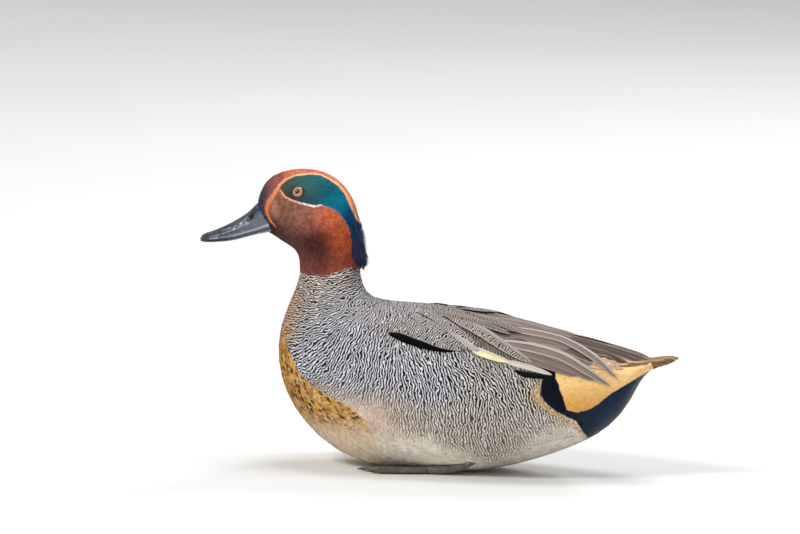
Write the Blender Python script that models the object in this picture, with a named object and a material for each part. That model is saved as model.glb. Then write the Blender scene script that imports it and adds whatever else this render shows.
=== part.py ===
"""A male common teal (Anas crecca), life size, sitting on its belly with its feet tucked under.

Metres, +Z up. The bill points towards -Y, the bird's left side is +X, and the ground is z = 0.
One smooth envelope runs from the bill's root to the tail tip. Head, neck, trunk and tail are
lengths of it, parted by thin cuts, and the wings, primaries and crest are shells that follow it.
"""

import math
from collections import namedtuple

import bmesh
import bpy
import numpy as np
from mathutils import Vector

MM = 0.001
GAP = 0.3 * MM  # between any two sub-parts
CUT = 0.45 * MM  # between two lengths of the envelope, in reach along its middle
SHELL_GAP = 0.5 * MM  # round the wings, whose curved faces are faceted

# Each station is one cross-section of the envelope, from the bill's root to the tail tip. Its top
# and under points are (y, z) in the middle plane, in millimetres. The waist is where the section is
# widest, as a share of the way down. The two powers round the superellipse above and below it.
Station = namedtuple("Station", "name top under half_width waist crown_power keel_power")
STATIONS = (
    Station("bill root", (-107.0, 147.0), (-100.4, 130.1), 6.4, 0.55, 2.0, 2.2),
    Station("forehead", (-104.2, 156.2), (-97.8, 129.1), 9.6, 0.58, 2.0, 2.3),
    Station("brow", (-90.0, 166.2), (-89.7, 124.4), 14.0, 0.57, 2.1, 2.3),
    Station("crown", (-69.5, 166.3), (-84.0, 120.8), 16.2, 0.55, 2.1, 2.2),
    Station("cheek", (-60.0, 161.4), (-82.4, 118.3), 16.4, 0.52, 2.1, 2.1),
    Station("occiput", (-52.8, 153.0), (-81.5, 115.5), 16.0, 0.50, 2.1, 2.1),
    Station("nape", (-47.8, 136.2), (-81.1, 109.8), 14.7, 0.50, 2.1, 2.1),
    Station("neck top", (-48.4, 126.4), (-81.1, 106.9), 14.6, 0.50, 2.1, 2.1),
    Station("collar", (-46.7, 111.1), (-82.8, 100.0), 17.0, 0.50, 2.1, 2.1),
    Station("neck base", (-43.6, 100.1), (-86.1, 90.7), 23.0, 0.50, 2.1, 2.1),
    Station("shoulder", (-37.2, 94.8), (-90.4, 76.7), 32.5, 0.46, 2.2, 2.1),
    Station("breast", (-25.7, 93.2), (-90.8, 57.3), 41.5, 0.45, 2.3, 2.1),
    Station("keel", (-8.4, 93.2), (-82.2, 33.4), 46.5, 0.46, 2.3, 2.1),
    Station("fore belly", (11.3, 90.8), (-53.4, 7.0), 48.3, 0.48, 2.3, 2.2),
    Station("mid belly", (32.6, 85.7), (-7.2, -1.4), 47.8, 0.50, 2.3, 2.2),
    Station("rear belly", (45.9, 81.9), (21.6, -0.4), 46.0, 0.50, 2.3, 2.2),
    Station("vent", (74.7, 73.7), (73.6, 14.2), 37.0, 0.45, 2.2, 2.1),
    Station("rump", (100.1, 68.8), (102.8, 32.4), 24.0, 0.40, 2.1, 2.0),
    Station("tail root", (111.1, 67.7), (112.0, 45.7), 18.0, 0.40, 2.1, 2.0),
    Station("tail coverts", (119.7, 67.9), (118.2, 57.8), 13.5, 0.42, 2.1, 2.0),
    Station("tail quills", (127.5, 69.6), (126.2, 65.0), 9.6, 0.50, 2.1, 2.0),
    Station("tail middle", (133.6, 70.6), (133.2, 67.6), 6.2, 0.50, 2.1, 2.0),
    Station("tail tip", (138.8, 70.8), (138.8, 69.8), 1.2, 0.50, 2.0, 2.0),
)

# Steps over which the envelope's slope is taken.
SMALL_REACH = 0.4 * MM
SMALL_TURN = 0.02

# Facets of the lofts.
HEAD_RINGS = 18
NECK_RINGS = 6
TRUNK_RINGS = 26
TAIL_RINGS = 7
SECTION_SIDES = 28
TRUNK_SOLVER = "MANIFOLD"  # the exact solver loses the trunk at the second wing's recess

# Eyes: balls sunk in the head, so that a cap of each shows.
EYE_RADIUS = 5.0 * MM
EYE_CENTRE = Vector((9.9, -81.2, 154.1)) * MM

# Bill, in the middle plane: culmen and underside as (y, z) in millimetres, the mouth line as a
# share of the depth between them, and the half-width.
BillStation = namedtuple("BillStation", "culmen under mouth half_width")
BILL_STATIONS = (
    BillStation((-107.3, 146.8), (-100.7, 129.9), 0.77, 6.3),
    BillStation((-112.6, 140.8), (-107.6, 128.1), 0.71, 6.8),
    BillStation((-121.5, 134.7), (-120.2, 124.3), 0.66, 6.7),
    BillStation((-130.0, 130.4), (-129.4, 122.9), 0.70, 7.1),
    BillStation((-138.8, 125.6), (-138.2, 122.7), 0.76, 6.6),
)
BILL_RINGS = 13
BILL_SIDES = 14
BILL_RING_CROWDING = 1.5  # over 1, the rings crowd towards the tip
BILL_TIP_SHARE = 0.16  # of its length, over which the tip rounds off in plan
BILL_TIP_BLUNT = 0.96  # 1 would be a point
BILL_ARCH = 0.85  # under 1, the section is fuller than an ellipse
BILL_MOUTH_GAP = 0.3 * MM
LOWER_BILL_INSET = 0.9  # the lower mandible's width, as a share of the upper one's

# Shells over the envelope. Reaches along it are measured from the bill's root; angles go round it
# from the back line, 0, to the keel, pi. Their borders and heights run through evenly spaced values.
Shell = namedtuple("Shell", "start end upper lower inner outer rows columns")
WING_THICK = 3.0 * MM
WING_PROUD = 0.3 * MM

# Feet, for the left side.
ANKLE = Vector((27.0, 27.0, 4.6)) * MM
SHIN_TOP = Vector((25.0, 19.0, 15.0)) * MM
TOE_ROOT = Vector((30.5, -3.0, 2.3)) * MM
SHANK_END = Vector((0.0, 3.4, 0.35)) * MM  # from the toes' root, clear of the foot
SHANK_RADIUS = 1.9 * MM
ANKLE_RADIUS = 2.5 * MM
SHIN_RADIUS = 2.6 * MM
TOE_RADIUS = 1.35 * MM
TOE_TIP_RADIUS = 0.6 * MM
TOE_SINK = 0.8  # height of a toe's middle over the ground, as a share of its radius
TOE_DROP_SHARE = 0.3  # of a toe's length, over which it comes down to the ground
TOE_LENGTHS = (27.0 * MM, 36.0 * MM, 33.0 * MM)
TOE_TURNS = (-11.0, 4.0, 18.0)  # degrees out from straight ahead
HIND_TOE_LENGTH = 8.0 * MM
WEB_THICK = 0.7 * MM
WEB_REACH = 0.86  # of each toe's length
WEB_SCALLOP = 0.14  # how far the web's edge is drawn in between two toes
WEB_HEIGHT = 0.25 * MM
TUBE_SIDES = 6


def material(name, colour, roughness):
    made = bpy.data.materials.new(name)
    made.use_nodes = True
    shader = made.node_tree.nodes["Principled BSDF"]
    shader.inputs["Base Color"].default_value = (*colour, 1.0)
    shader.inputs["Roughness"].default_value = roughness
    shader.inputs["Metallic"].default_value = 0.0
    return made


def natural_spline(knots, values):
    """A function that runs smoothly through the values at the knots."""
    count = len(knots)
    steps = np.diff(knots)
    matrix = np.eye(count)
    right = np.zeros_like(values)
    for i in range(1, count - 1):
        matrix[i, i - 1 : i + 2] = (steps[i - 1], 2 * (steps[i - 1] + steps[i]), steps[i])
        slopes = np.diff(values[i - 1 : i + 2], axis=0) / steps[i - 1 : i + 1, None]
        right[i] = 6 * (slopes[1] - slopes[0])
    bend = np.linalg.solve(matrix, right)

    def at(where):
        i = int(np.clip(np.searchsorted(knots, where) - 1, 0, count - 2))
        after = where - knots[i]
        before = knots[i + 1] - where
        step = steps[i]
        cubic = (bend[i] * before**3 + bend[i + 1] * after**3) / (6 * step)
        left = (values[i] / step - bend[i] * step / 6) * before
        return cubic + left + (values[i + 1] / step - bend[i + 1] * step / 6) * after

    return at


def envelope():
    """The envelope's sections as a spline of reach, and each station's reach by name."""
    tops = np.array([station.top for station in STATIONS]) * MM
    unders = np.array([station.under for station in STATIONS]) * MM
    forms = np.array([station[3:] for station in STATIONS])
    forms[:, 0] *= MM
    top_steps = np.linalg.norm(np.diff(tops, axis=0), axis=1)
    under_steps = np.linalg.norm(np.diff(unders, axis=0), axis=1)
    reaches = np.concatenate([[0.0], np.cumsum((top_steps + under_steps) / 2)])
    spline = natural_spline(reaches, np.hstack([tops, unders, forms]))
    return spline, {station.name: reach for station, reach in zip(STATIONS, reaches)}


SECTION_AT, REACH = envelope()


def on_section(row, angle):
    """The point at this angle on a section: a superellipse between its top and under points."""
    top, under = row[0:2], row[2:4]
    half_width, waist, crown_power, keel_power = row[4:8]
    down = math.cos(angle)
    power = crown_power if down >= 0 else keel_power
    depth = 1 - abs(down) ** (2 / power)
    share = waist * depth if down >= 0 else 1 - (1 - waist) * depth
    side = math.sin(angle)
    across = math.copysign(half_width * abs(side) ** (2 / power), side)
    y, z = top + (under - top) * share
    return Vector((across, y, z))


def on_envelope(reach, angle, offset=0.0):
    """A point on the envelope, or this far outside it."""
    point = on_section(SECTION_AT(reach), angle)
    if not offset:
        return point
    before, here, after = (SECTION_AT(reach + step) for step in (-SMALL_REACH, 0.0, SMALL_REACH))
    along = on_section(after, angle) - on_section(before, angle)
    around = on_section(here, angle + SMALL_TURN) - on_section(here, angle - SMALL_TURN)
    return point + around.cross(along).normalized() * offset


def object_from(name, bm, collection, finish=None):
    if bm.calc_volume(signed=True) < 0:
        bmesh.ops.reverse_faces(bm, faces=bm.faces)
    mesh = bpy.data.meshes.new(name)
    bm.to_mesh(mesh)
    bm.free()
    if finish:
        mesh.materials.append(finish)
        mesh.shade_smooth()
        mesh.set_sharp_from_angle(angle=math.radians(50))
    obj = bpy.data.objects.new(name, mesh)
    collection.objects.link(obj)
    return obj


def loft(rings):
    """A closed mesh through rings of equally many points, with flat ends."""
    bm = bmesh.new()
    rows = [[bm.verts.new(point) for point in ring] for ring in rings]
    for row, after in zip(rows, rows[1:]):
        for i, corner in enumerate(row):
            j = (i + 1) % len(row)
            bm.faces.new((corner, row[j], after[j], after[i]))
    bm.faces.new(reversed(rows[0]))
    bm.faces.new(rows[-1])
    return bm


def body_length(name, start, end, ring_count, collection, finish):
    """One length of the envelope, such as the neck."""
    rings = []
    for i in range(ring_count + 1):
        row = SECTION_AT(start + (end - start) * i / ring_count)
        angles = [2 * math.pi * k / SECTION_SIDES for k in range(SECTION_SIDES)]
        rings.append([on_section(row, angle) for angle in angles])
    return object_from(name, loft(rings), collection, finish)


def through(*values):
    """A smooth function of a share from 0 to 1 that passes through evenly spaced values."""
    spline = natural_spline(np.linspace(0.0, 1.0, len(values)), np.array(values)[:, None])
    return lambda share: float(spline(share)[0])


def shell_bmesh(shell, side, margin=0.0):
    """A closed sheet between two offsets of the envelope. A margin makes it larger all round."""
    start, end = shell.start - margin, shell.end + margin
    rings = []
    for i in range(shell.rows + 1):
        share = i / shell.rows
        reach = start + (end - start) * (1 - math.cos(math.pi * share)) / 2
        spread = margin / SECTION_AT(reach)[4]
        upper = shell.upper(share) - spread
        lower = shell.lower(share) + spread
        inner_row = []
        outer_row = []
        for k in range(shell.columns + 1):
            across = k / shell.columns
            angle = side * (upper + (lower - upper) * across)
            inner_row.append(on_envelope(reach, angle, shell.inner - margin))
            outer_row.append(on_envelope(reach, angle, shell.outer(share, across) + margin))
        rings.append(inner_row + outer_row[::-1])
    return loft(rings)


def wing_shell():
    """The folded wing, from its bend at the shoulder to the tertial tips. It is thickest at the back."""
    rise = through(0.0, 0.0, 0.4, 1.4, 3.0, 4.8, 5.6, 3.8, 0.6)
    return Shell(
        start=REACH["breast"] + 12 * MM,
        end=REACH["rump"] + 6 * MM,
        upper=through(0.74, 0.42, 0.30, 0.22, 0.15, 0.10, 0.12, 0.50, 1.24),
        lower=through(0.84, 1.10, 1.05, 0.98, 0.95, 0.98, 1.10, 1.30, 1.42),
        inner=-WING_THICK,
        outer=lambda share, across: WING_PROUD + rise(share) * MM * (1 - across) ** 1.3,
        rows=20,
        columns=8,
    )


def primary_shell():
    """The long primaries, which lie over the rump and reach past the tertials."""
    stack = through(4.0, 6.0, 5.8, 4.6, 1.0)
    return Shell(
        start=REACH["vent"] - 4 * MM,
        end=REACH["tail coverts"] + 1 * MM,
        upper=through(0.04, 0.04, 0.05, 0.06, 0.10),
        lower=through(0.50, 0.62, 0.60, 0.46, 0.26),
        inner=GAP,
        outer=lambda share, across: GAP + stack(share) * MM * (1 - 0.6 * across),
        rows=10,
        columns=4,
    )


def crest_shell():
    """The tuft of long feathers that hangs from the nape, clear of the neck."""
    stack = through(0.3, 1.6, 3.0, 4.3, 4.0, 0.8)
    spread = through(0.44, 0.46, 0.42, 0.36, 0.28, 0.10)
    return Shell(
        start=REACH["nape"] + 2 * MM,
        end=REACH["collar"] - 1.2 * MM,
        upper=lambda share: -spread(share),
        lower=spread,
        inner=GAP,
        outer=lambda share, across: 2.2 * GAP + stack(share) * MM * math.sin(math.pi * across),
        rows=8,
        columns=6,
    )


def subtract(obj, cutter, solver="EXACT"):
    modifier = obj.modifiers.new(cutter.name, "BOOLEAN")
    modifier.operation = "DIFFERENCE"
    modifier.object = cutter
    modifier.solver = solver


def join(obj, other):
    modifier = obj.modifiers.new(other.name, "BOOLEAN")
    modifier.operation = "UNION"
    modifier.object = other
    modifier.solver = "EXACT"


def ball(radius, centre, segments=16, rings=9):
    bm = bmesh.new()
    bmesh.ops.create_uvsphere(bm, u_segments=segments, v_segments=rings, radius=radius)
    bmesh.ops.translate(bm, verts=bm.verts, vec=centre)
    return bm


def slab_below_ground():
    """A block under z = 0, which planes the belly and the soles flat."""
    bm = bmesh.new()
    bmesh.ops.create_cube(bm, size=1.0)
    bmesh.ops.scale(bm, verts=bm.verts, vec=(200 * MM, 300 * MM, 20 * MM))
    bmesh.ops.translate(bm, verts=bm.verts, vec=(0.0, 0.0, -10 * MM))
    return bm


def bill_rings(upper):
    """Rings of one mandible. The upper one is arched over the mouth line, the lower one hangs."""
    forms = [[*(MM * Vector((*s.culmen, *s.under, s.half_width))), s.mouth] for s in BILL_STATIONS]
    at = natural_spline(np.linspace(0.0, 1.0, len(forms)), np.array(forms))
    rings = []
    for i in range(BILL_RINGS + 1):
        share = 1 - (1 - i / BILL_RINGS) ** BILL_RING_CROWDING
        row = at(share)
        culmen, under = row[0:2], row[2:4]
        depth = under - culmen
        into_tip = max(0.0, (share - 1 + BILL_TIP_SHARE) / BILL_TIP_SHARE)
        half_width = row[4] * math.sqrt(1 - BILL_TIP_BLUNT * into_tip**2)
        lip = culmen + depth * row[5]
        far = under
        if upper:
            lip = lip - depth * BILL_MOUTH_GAP / np.linalg.norm(depth)
            far = culmen
        else:
            half_width *= LOWER_BILL_INSET
        ring = []
        for k in range(BILL_SIDES + 1):
            angle = math.pi * k / BILL_SIDES
            y, z = lip + (far - lip) * math.sin(angle) ** BILL_ARCH
            ring.append(Vector((half_width * math.cos(angle), y, z)))
        rings.append(ring)
    return rings


def tube_rings(path, radii):
    """Rings round a path, each square to the path there."""
    rings = []
    for i, (point, radius) in enumerate(zip(path, radii)):
        ahead = path[min(i + 1, len(path) - 1)] - path[max(i - 1, 0)]
        turn = ahead.to_track_quat("Z", "Y")
        angles = [2 * math.pi * k / TUBE_SIDES for k in range(TUBE_SIDES)]
        spokes = [turn @ Vector((math.cos(angle), math.sin(angle), 0.0)) for angle in angles]
        rings.append([point + spoke * radius for spoke in spokes])
    return rings


def mirrored(point, side):
    return Vector((side * point.x, point.y, point.z))


def toe_tip(length, turn, side):
    ahead = Vector((side * math.sin(math.radians(turn)), -math.cos(math.radians(turn)), 0.0))
    return mirrored(TOE_ROOT, side) + ahead * length


def toe_rings(length, turn, side):
    """A toe from its root, down to the ground and along it to the claw, a little sunk for a sole."""
    root = mirrored(TOE_ROOT, side)
    tip = toe_tip(length, turn, side)
    path = []
    radii = []
    for share in (-0.04, 0.12, 0.35, 0.6, 0.82, 1.0):
        radius = TOE_RADIUS + (TOE_TIP_RADIUS - TOE_RADIUS) * max(0.0, share) ** 2
        on_ground = radius * TOE_SINK
        point = root.lerp(tip, share)
        point.z = on_ground + (root.z - on_ground) * max(0.0, 1 - share / TOE_DROP_SHARE) ** 2
        path.append(point)
        radii.append(radius)
    return tube_rings(path, radii)


def web_bmesh(side):
    """The web: a thin plate between the toes, scalloped at its front edge."""
    heel = mirrored(TOE_ROOT, side) + Vector((0.0, 1.0 * MM, 0.0))
    tips = [toe_tip(length * WEB_REACH, turn, side) for length, turn in zip(TOE_LENGTHS, TOE_TURNS)]
    corners = [heel]
    for tip, after in zip(tips, tips[1:]):
        corners += [tip, tip.lerp(after, 0.5).lerp(heel, WEB_SCALLOP)]
    corners.append(tips[-1])
    rings = []
    for height in (WEB_HEIGHT, WEB_HEIGHT + WEB_THICK):
        rings.append([Vector((corner.x, corner.y, height)) for corner in corners])
    return loft(rings)


def leg_object(name, side, margin, parts, cutters, finish=None):
    """The shank along the ground, the shin up into the belly, and the ankle between them."""
    ankle = mirrored(ANKLE, side)
    front = mirrored(TOE_ROOT + SHANK_END, side)
    front += (front - ankle).normalized() * margin
    shank = tube_rings([ankle, front], [SHANK_RADIUS + margin] * 2)
    inside = mirrored(SHIN_TOP, side)
    inside += (inside - ankle).normalized() * margin
    shin = tube_rings([ankle, inside], [SHANK_RADIUS + margin, SHIN_RADIUS + margin])
    leg = object_from(name, loft(shank), cutters if margin else parts, finish)
    join(leg, object_from(name + "_shin", loft(shin), cutters))
    join(leg, object_from(name + "_ankle", ball(ANKLE_RADIUS + margin, ankle, 8, 6), cutters))
    return leg


def hind_toe_rings(side):
    root = TOE_ROOT + Vector((-0.4, 0.3, -0.4)) * MM
    tip = root + Vector((-0.84, 0.52, -0.12)) * HIND_TOE_LENGTH
    path = [mirrored(root.lerp(tip, share), side) for share in (0.0, 0.5, 1.0)]
    return tube_rings(path, [1.0 * MM, 0.8 * MM, 0.5 * MM])


def build_body(parts, slab):
    chestnut = material("chestnut head", (0.20, 0.055, 0.025), 0.8)
    grey = material("vermiculated grey", (0.30, 0.29, 0.28), 0.8)
    buff = material("tail buff", (0.55, 0.42, 0.22), 0.8)
    collar, shoulder, tail_root = REACH["collar"], REACH["shoulder"], REACH["tail root"]
    half = CUT / 2
    head = body_length("head", 0.0, collar - half, HEAD_RINGS, parts, chestnut)
    body_length("neck", collar + half, shoulder - half, NECK_RINGS, parts, grey)
    trunk = body_length("trunk", shoulder + half, tail_root - half, TRUNK_RINGS, parts, grey)
    body_length("tail", tail_root + half, REACH["tail tip"], TAIL_RINGS, parts, buff)
    subtract(trunk, slab, TRUNK_SOLVER)
    return head, trunk


def build_eye(side, head, parts, cutters):
    name = "left" if side > 0 else "right"
    centre = Vector((side * EYE_CENTRE.x, EYE_CENTRE.y, EYE_CENTRE.z))
    brown = material("eye " + name, (0.12, 0.05, 0.02), 0.1)
    object_from("eye_" + name, ball(EYE_RADIUS, centre), parts, brown)
    subtract(head, object_from("socket_" + name, ball(EYE_RADIUS + GAP, centre), cutters))


def build_bill(parts):
    slate = material("bill slate", (0.03, 0.034, 0.042), 0.35)
    object_from("bill_upper", loft(bill_rings(True)), parts, slate)
    object_from("bill_lower", loft(bill_rings(False)), parts, slate)


def build_wing(side, trunk, parts, cutters):
    name = "left" if side > 0 else "right"
    grey_brown = material("wing " + name, (0.22, 0.19, 0.16), 0.75)
    object_from("wing_" + name, shell_bmesh(wing_shell(), side), parts, grey_brown)
    recess = object_from("recess_" + name, shell_bmesh(wing_shell(), side, SHELL_GAP), cutters)
    subtract(trunk, recess, TRUNK_SOLVER)
    dusky = material("primaries " + name, (0.10, 0.085, 0.075), 0.7)
    primaries = object_from("primaries_" + name, shell_bmesh(primary_shell(), side), parts, dusky)
    subtract(primaries, recess)


def build_crest(parts):
    dark = material("crest", (0.01, 0.02, 0.05), 0.6)
    object_from("crest", shell_bmesh(crest_shell(), 1), parts, dark)


def build_leg(side, trunk, slab, parts, cutters):
    name = "left" if side > 0 else "right"
    skin = material("leg " + name, (0.13, 0.13, 0.12), 0.5)
    leg_object("leg_" + name, side, 0.0, parts, cutters, skin)
    subtract(trunk, leg_object("leg_room_" + name, side, GAP, parts, cutters), TRUNK_SOLVER)
    web = material("foot " + name, (0.11, 0.11, 0.10), 0.5)
    foot = object_from("foot_" + name, web_bmesh(side), parts, web)
    for i, (length, turn) in enumerate(zip(TOE_LENGTHS, TOE_TURNS)):
        toe = object_from(f"toe_{name}_{i + 1}", loft(toe_rings(length, turn, side)), cutters)
        join(foot, toe)
    join(foot, object_from("hind_toe_" + name, loft(hind_toe_rings(side)), cutters))
    subtract(foot, slab)


def main():
    for obj in list(bpy.data.objects):
        bpy.data.objects.remove(obj)
    parts = bpy.data.collections.new("teal_drake")
    cutters = bpy.data.collections.new("cutters")
    bpy.context.scene.collection.children.link(parts)
    bpy.context.scene.collection.children.link(cutters)
    slab = object_from("slab_below_ground", slab_below_ground(), cutters)
    head, trunk = build_body(parts, slab)
    build_bill(parts)
    build_crest(parts)
    for side in (1, -1):
        build_eye(side, head, parts, cutters)
        build_wing(side, trunk, parts, cutters)
        build_leg(side, trunk, slab, parts, cutters)
    for cutter in cutters.objects:
        cutter.hide_render = True
        cutter.display_type = "WIRE"


main()
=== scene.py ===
"""Looks of a life-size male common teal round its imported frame.

Lengths are millimetres until a mesh is made. x runs to the bird's left, y to its tail and z up.
Both sides are marked alike, so a marking is a function of y and z seen from the side.
Colours in tables are 0 to 255 a channel.
"""

import math

import bpy
import numpy as np
from mathutils import Matrix, Vector
from mathutils.bvhtree import BVHTree


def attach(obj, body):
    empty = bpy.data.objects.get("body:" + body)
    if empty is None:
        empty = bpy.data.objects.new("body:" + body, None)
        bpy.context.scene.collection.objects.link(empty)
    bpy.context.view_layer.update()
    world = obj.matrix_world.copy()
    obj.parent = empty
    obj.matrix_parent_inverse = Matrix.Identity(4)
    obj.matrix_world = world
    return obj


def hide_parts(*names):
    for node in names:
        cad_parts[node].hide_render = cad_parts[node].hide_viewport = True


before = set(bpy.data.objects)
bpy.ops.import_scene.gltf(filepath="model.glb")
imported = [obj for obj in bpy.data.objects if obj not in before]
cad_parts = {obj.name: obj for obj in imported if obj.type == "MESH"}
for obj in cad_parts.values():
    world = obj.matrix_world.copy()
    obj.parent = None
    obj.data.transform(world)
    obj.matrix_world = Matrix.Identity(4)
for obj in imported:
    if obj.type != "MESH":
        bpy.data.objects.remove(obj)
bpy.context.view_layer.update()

MM = 0.001
UP = np.array((0.0, 0.0, 1.0))

# ---- sizes and places

FLESH = (
    "head", "crest", "neck", "trunk", "tail",
    "wing_left", "wing_right", "primaries_left", "primaries_right",
)  # fmt: skip
EYES = ("eye_left", "eye_right")
SKIN_VOXEL = 1.1
SKIN_SMOOTHING = 10
SKIN_DEPTH_HEAD, SKIN_DEPTH_BODY = 0.5, 1.9
THIN, THIN_SHARE = 8.0, 0.3  # what counts as thin, and the skin's greatest share of it on a side

EYE_CENTRE = np.array((9.9, -81.2, 154.1))
EYE_AXIS = np.array((0.93, -0.10, 0.35))
EYE_RADIUS = 5.0

# The lie of the plumage: at (y, z) it heads along (dy, dz), before it is laid on the skin.
LIE = (
    ("bill root", -104, 142, 1.0, 0.35),
    ("crown", -75, 165, 1.0, 0.0),
    ("face", -85, 140, 1.0, -0.2),
    ("back of head", -55, 150, 0.5, -0.9),
    ("cheek", -65, 132, 0.8, -0.6),
    ("throat", -85, 122, 0.7, -0.8),
    ("nape", -46, 130, 0.1, -1.0),
    ("neck", -64, 112, 0.05, -1.0),
    ("collar", -64, 98, 0.0, -1.0),
    ("front of neck", -85, 95, -0.1, -1.0),
    ("breast", -88, 72, 0.15, -1.0),
    ("keel", -80, 48, 0.6, -0.8),
    ("upper shoulder", -47, 91, 0.45, -0.9),
    ("side of neck", -60, 79, 0.4, -0.92),
    ("shoulder", -40, 82, 0.88, -0.48),
    ("bend of wing", -38, 68, 1.0, -0.02),
    ("side", -49, 72, 0.96, -0.3),
    ("fore side", -60, 66, 0.75, -0.66),
    ("low side", -46, 53, 0.76, -0.65),
    ("fore flank", -22, 61, 1.0, 0.05),
    ("lower fore flank", -26, 48, 0.96, -0.28),
    ("fore flank at the wing", -2, 63, 0.72, 0.7),
    ("flank at the wing", 20, 63, 0.68, 0.73),
    ("rear flank at the wing", 40, 62, 0.68, 0.73),
    ("flank", 0, 54, 0.96, 0.28),
    ("mid flank", 24, 52, 1.0, 0.12),
    ("rear flank", 47, 54, 0.84, 0.54),
    ("low flank", 0, 42, 1.0, 0.03),
    ("low rear flank", 30, 40, 1.0, 0.0),
    ("before the vent", 58, 44, 0.95, 0.3),
    ("fore belly", -22, 30, 1.0, -0.1),
    ("mantle", -20, 92, 1.0, -0.2),
    ("scapulars", 10, 80, 1.0, -0.55),
    ("back", 50, 82, 1.0, -0.3),
    ("vent", 90, 48, 1.0, 0.3),
    ("belly", 0, 4, 1.0, 0.0),
    ("rump", 100, 70, 1.0, -0.1),
    ("tail", 130, 70, 1.0, 0.0),
)

GUIDE_BLUR, GUIDE_FALL = 50, 1.6  # square millimetres, power of the distance squared

# The middle of the body from bill to tail, which the maps are unrolled from.
SPINE = (
    (-104, 142), (-84, 147), (-67, 140), (-64, 118), (-64, 100), (-52, 76),
    (-22, 52), (30, 45), (80, 50), (112, 58), (139, 70),
)  # fmt: skip

# ---- markings

# Edge of the chestnut neck, front to back.
COLLAR = (
    (-80, 109.5), (-74, 109), (-67, 108.7), (-61, 109.8), (-56, 112.3),
    (-53, 113.2), (-50.4, 114.6), (-48, 112), (-38, 110.5),
)  # fmt: skip
# Cream lines as (y, z, half width). The upper one runs from the gape over the eye to the nape.
UPPER_LINE = (
    (-94.0, 134.6, 0.3), (-97.3, 137.6, 0.8), (-99.6, 141.9, 1.2), (-100.1, 145, 1.5),
    (-98.8, 148.2, 1.6), (-97, 151.3, 1.5), (-94.7, 155.3, 1.2), (-92.7, 158.8, 1.0),
    (-90.1, 161.5, 0.8), (-84.6, 164.3, 0.8), (-76.2, 165.6, 0.8), (-70.5, 165.3, 0.8),
    (-64.6, 162.9, 0.9), (-58.9, 159.2, 1.2), (-55.3, 155.1, 1.4), (-52.7, 150.3, 1.4),
    (-51.1, 146.8, 1.3), (-49.5, 143, 1.1), (-48.3, 139.2, 0.8), (-47.4, 135, 0.0),
)  # fmt: skip
LOWER_LINE = (
    (-92.5, 156, 0.5), (-89.5, 152.6, 0.6), (-86, 151, 0.5), (-80, 149.4, 0.55), (-74, 148.4, 0.65),
    (-71.2, 147.9, 0.65), (-68.3, 148.8, 0.4), (-64.4, 148, 0.1), (-59.7, 146.3, -0.1),
    (-56.9, 144.1, 0.0), (-54, 139.5, 0.1), (-51.5, 134.8, 0.05), (-50.8, 129, -0.4),
)  # fmt: skip
# The glossy patch that holds the eye and runs down into the crest.
EYE_PATCH = tuple((y, z) for y, z, _ in UPPER_LINE[7:]) + (
    (-40, 128), (-40, 111), (-45.5, 111), (-48.6, 115), (-50.6, 119), (-50.8, 124),
) + tuple((y, z) for y, z, _ in reversed(LOWER_LINE))  # fmt: skip
# Rear edge of the spotted buff breast, top to bottom.
BREAST = (
    (-81.5, 100), (-79.6, 94.3), (-80.4, 88.8), (-81, 83.7), (-82.2, 78.1), (-82.4, 69.8),
    (-79.4, 63.3), (-75.4, 56.8), (-70.5, 51.6), (-64.5, 47.8), (-58.5, 45), (-52, 42),
    (-43, 38), (-34, 32), (-28, 22), (-26, 8),
)  # fmt: skip
# The buff arc before the vent, the black behind it and the cream patch on that.
BUFF_ARC = (
    (66.5, 62), (65.6, 59.3), (62.4, 55.9), (61, 50.3), (62.8, 45.9), (68.4, 41.5), (74, 37.5),
    (82, 32), (86, 27), (88, 22), (90, 22), (88, 30), (76.5, 40.1), (72, 43), (68.4, 46.6),
    (66, 50.5), (65.6, 55.9), (66.5, 59.7),
)  # fmt: skip
VENT = (
    (67, 72), (66.3, 59.7), (65.5, 55.9), (65.9, 50.5), (68.4, 46.6), (72, 43), (76.5, 40.1),
    (85.4, 35), (89, 26), (90, 10), (150, 10), (150, 66), (126, 65.6), (110, 72),
)  # fmt: skip
CREAM_PATCH = (
    (72.6, 66), (73.2, 59.5), (75.3, 56.6), (76, 53.5), (78, 49.4), (79.1, 46), (80.2, 42),
    (85.6, 40.3), (92.4, 42.2), (97.4, 45.5), (102.9, 50.7), (108, 54.1), (113.2, 57.3),
    (119, 61), (126, 64.6), (124, 69), (110, 72), (90, 72),
)  # fmt: skip


def linear(*srgb):
    """Turns a colour of 0 to 255 a channel into the linear light that shaders use."""
    share = np.array(srgb, float) / 255
    return np.where(share <= 0.04045, share / 12.92, ((share + 0.055) / 1.055) ** 2.4)


# Colours by part of the plumage, as (part, y, z, reach, red, green, blue), each fading into the next.
CHEEK_COLOURS = (
    ("beside the bill", -105, 147, 4, 58, 64, 82),
    ("gape", -101.5, 138.5, 3, 52, 40, 42),
    ("forehead", -103, 154, 3, 92, 72, 84),
    ("fore crown", -97, 159, 4, 146, 86, 76),
    ("crown", -78, 168, 8, 212, 122, 86),
    ("rear crown", -56, 158, 6, 226, 136, 92),
    ("lore", -96, 145, 3, 168, 116, 92),
    ("fore cheek", -88, 142, 5, 122, 82, 66),
    ("under the eye", -78, 143, 6, 146, 94, 78),
    ("ear coverts", -63, 142, 5, 192, 99, 69),
    # Partly painted light: this chestnut is painted lighter to make up for the shade the side of the nape
    # lies in.
    ("side of nape", -55, 128, 5, 186, 86, 51),
    ("lower cheek", -68, 124, 7, 66, 30, 27),
    ("jaw", -88, 130, 5, 84, 54, 50),
    ("chin", -97, 131, 5, 36, 26, 30),
    ("front of neck", -76, 113, 5, 116, 62, 56),
    ("foot of nape", -57, 114, 5, 140, 70, 52),
)
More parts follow.
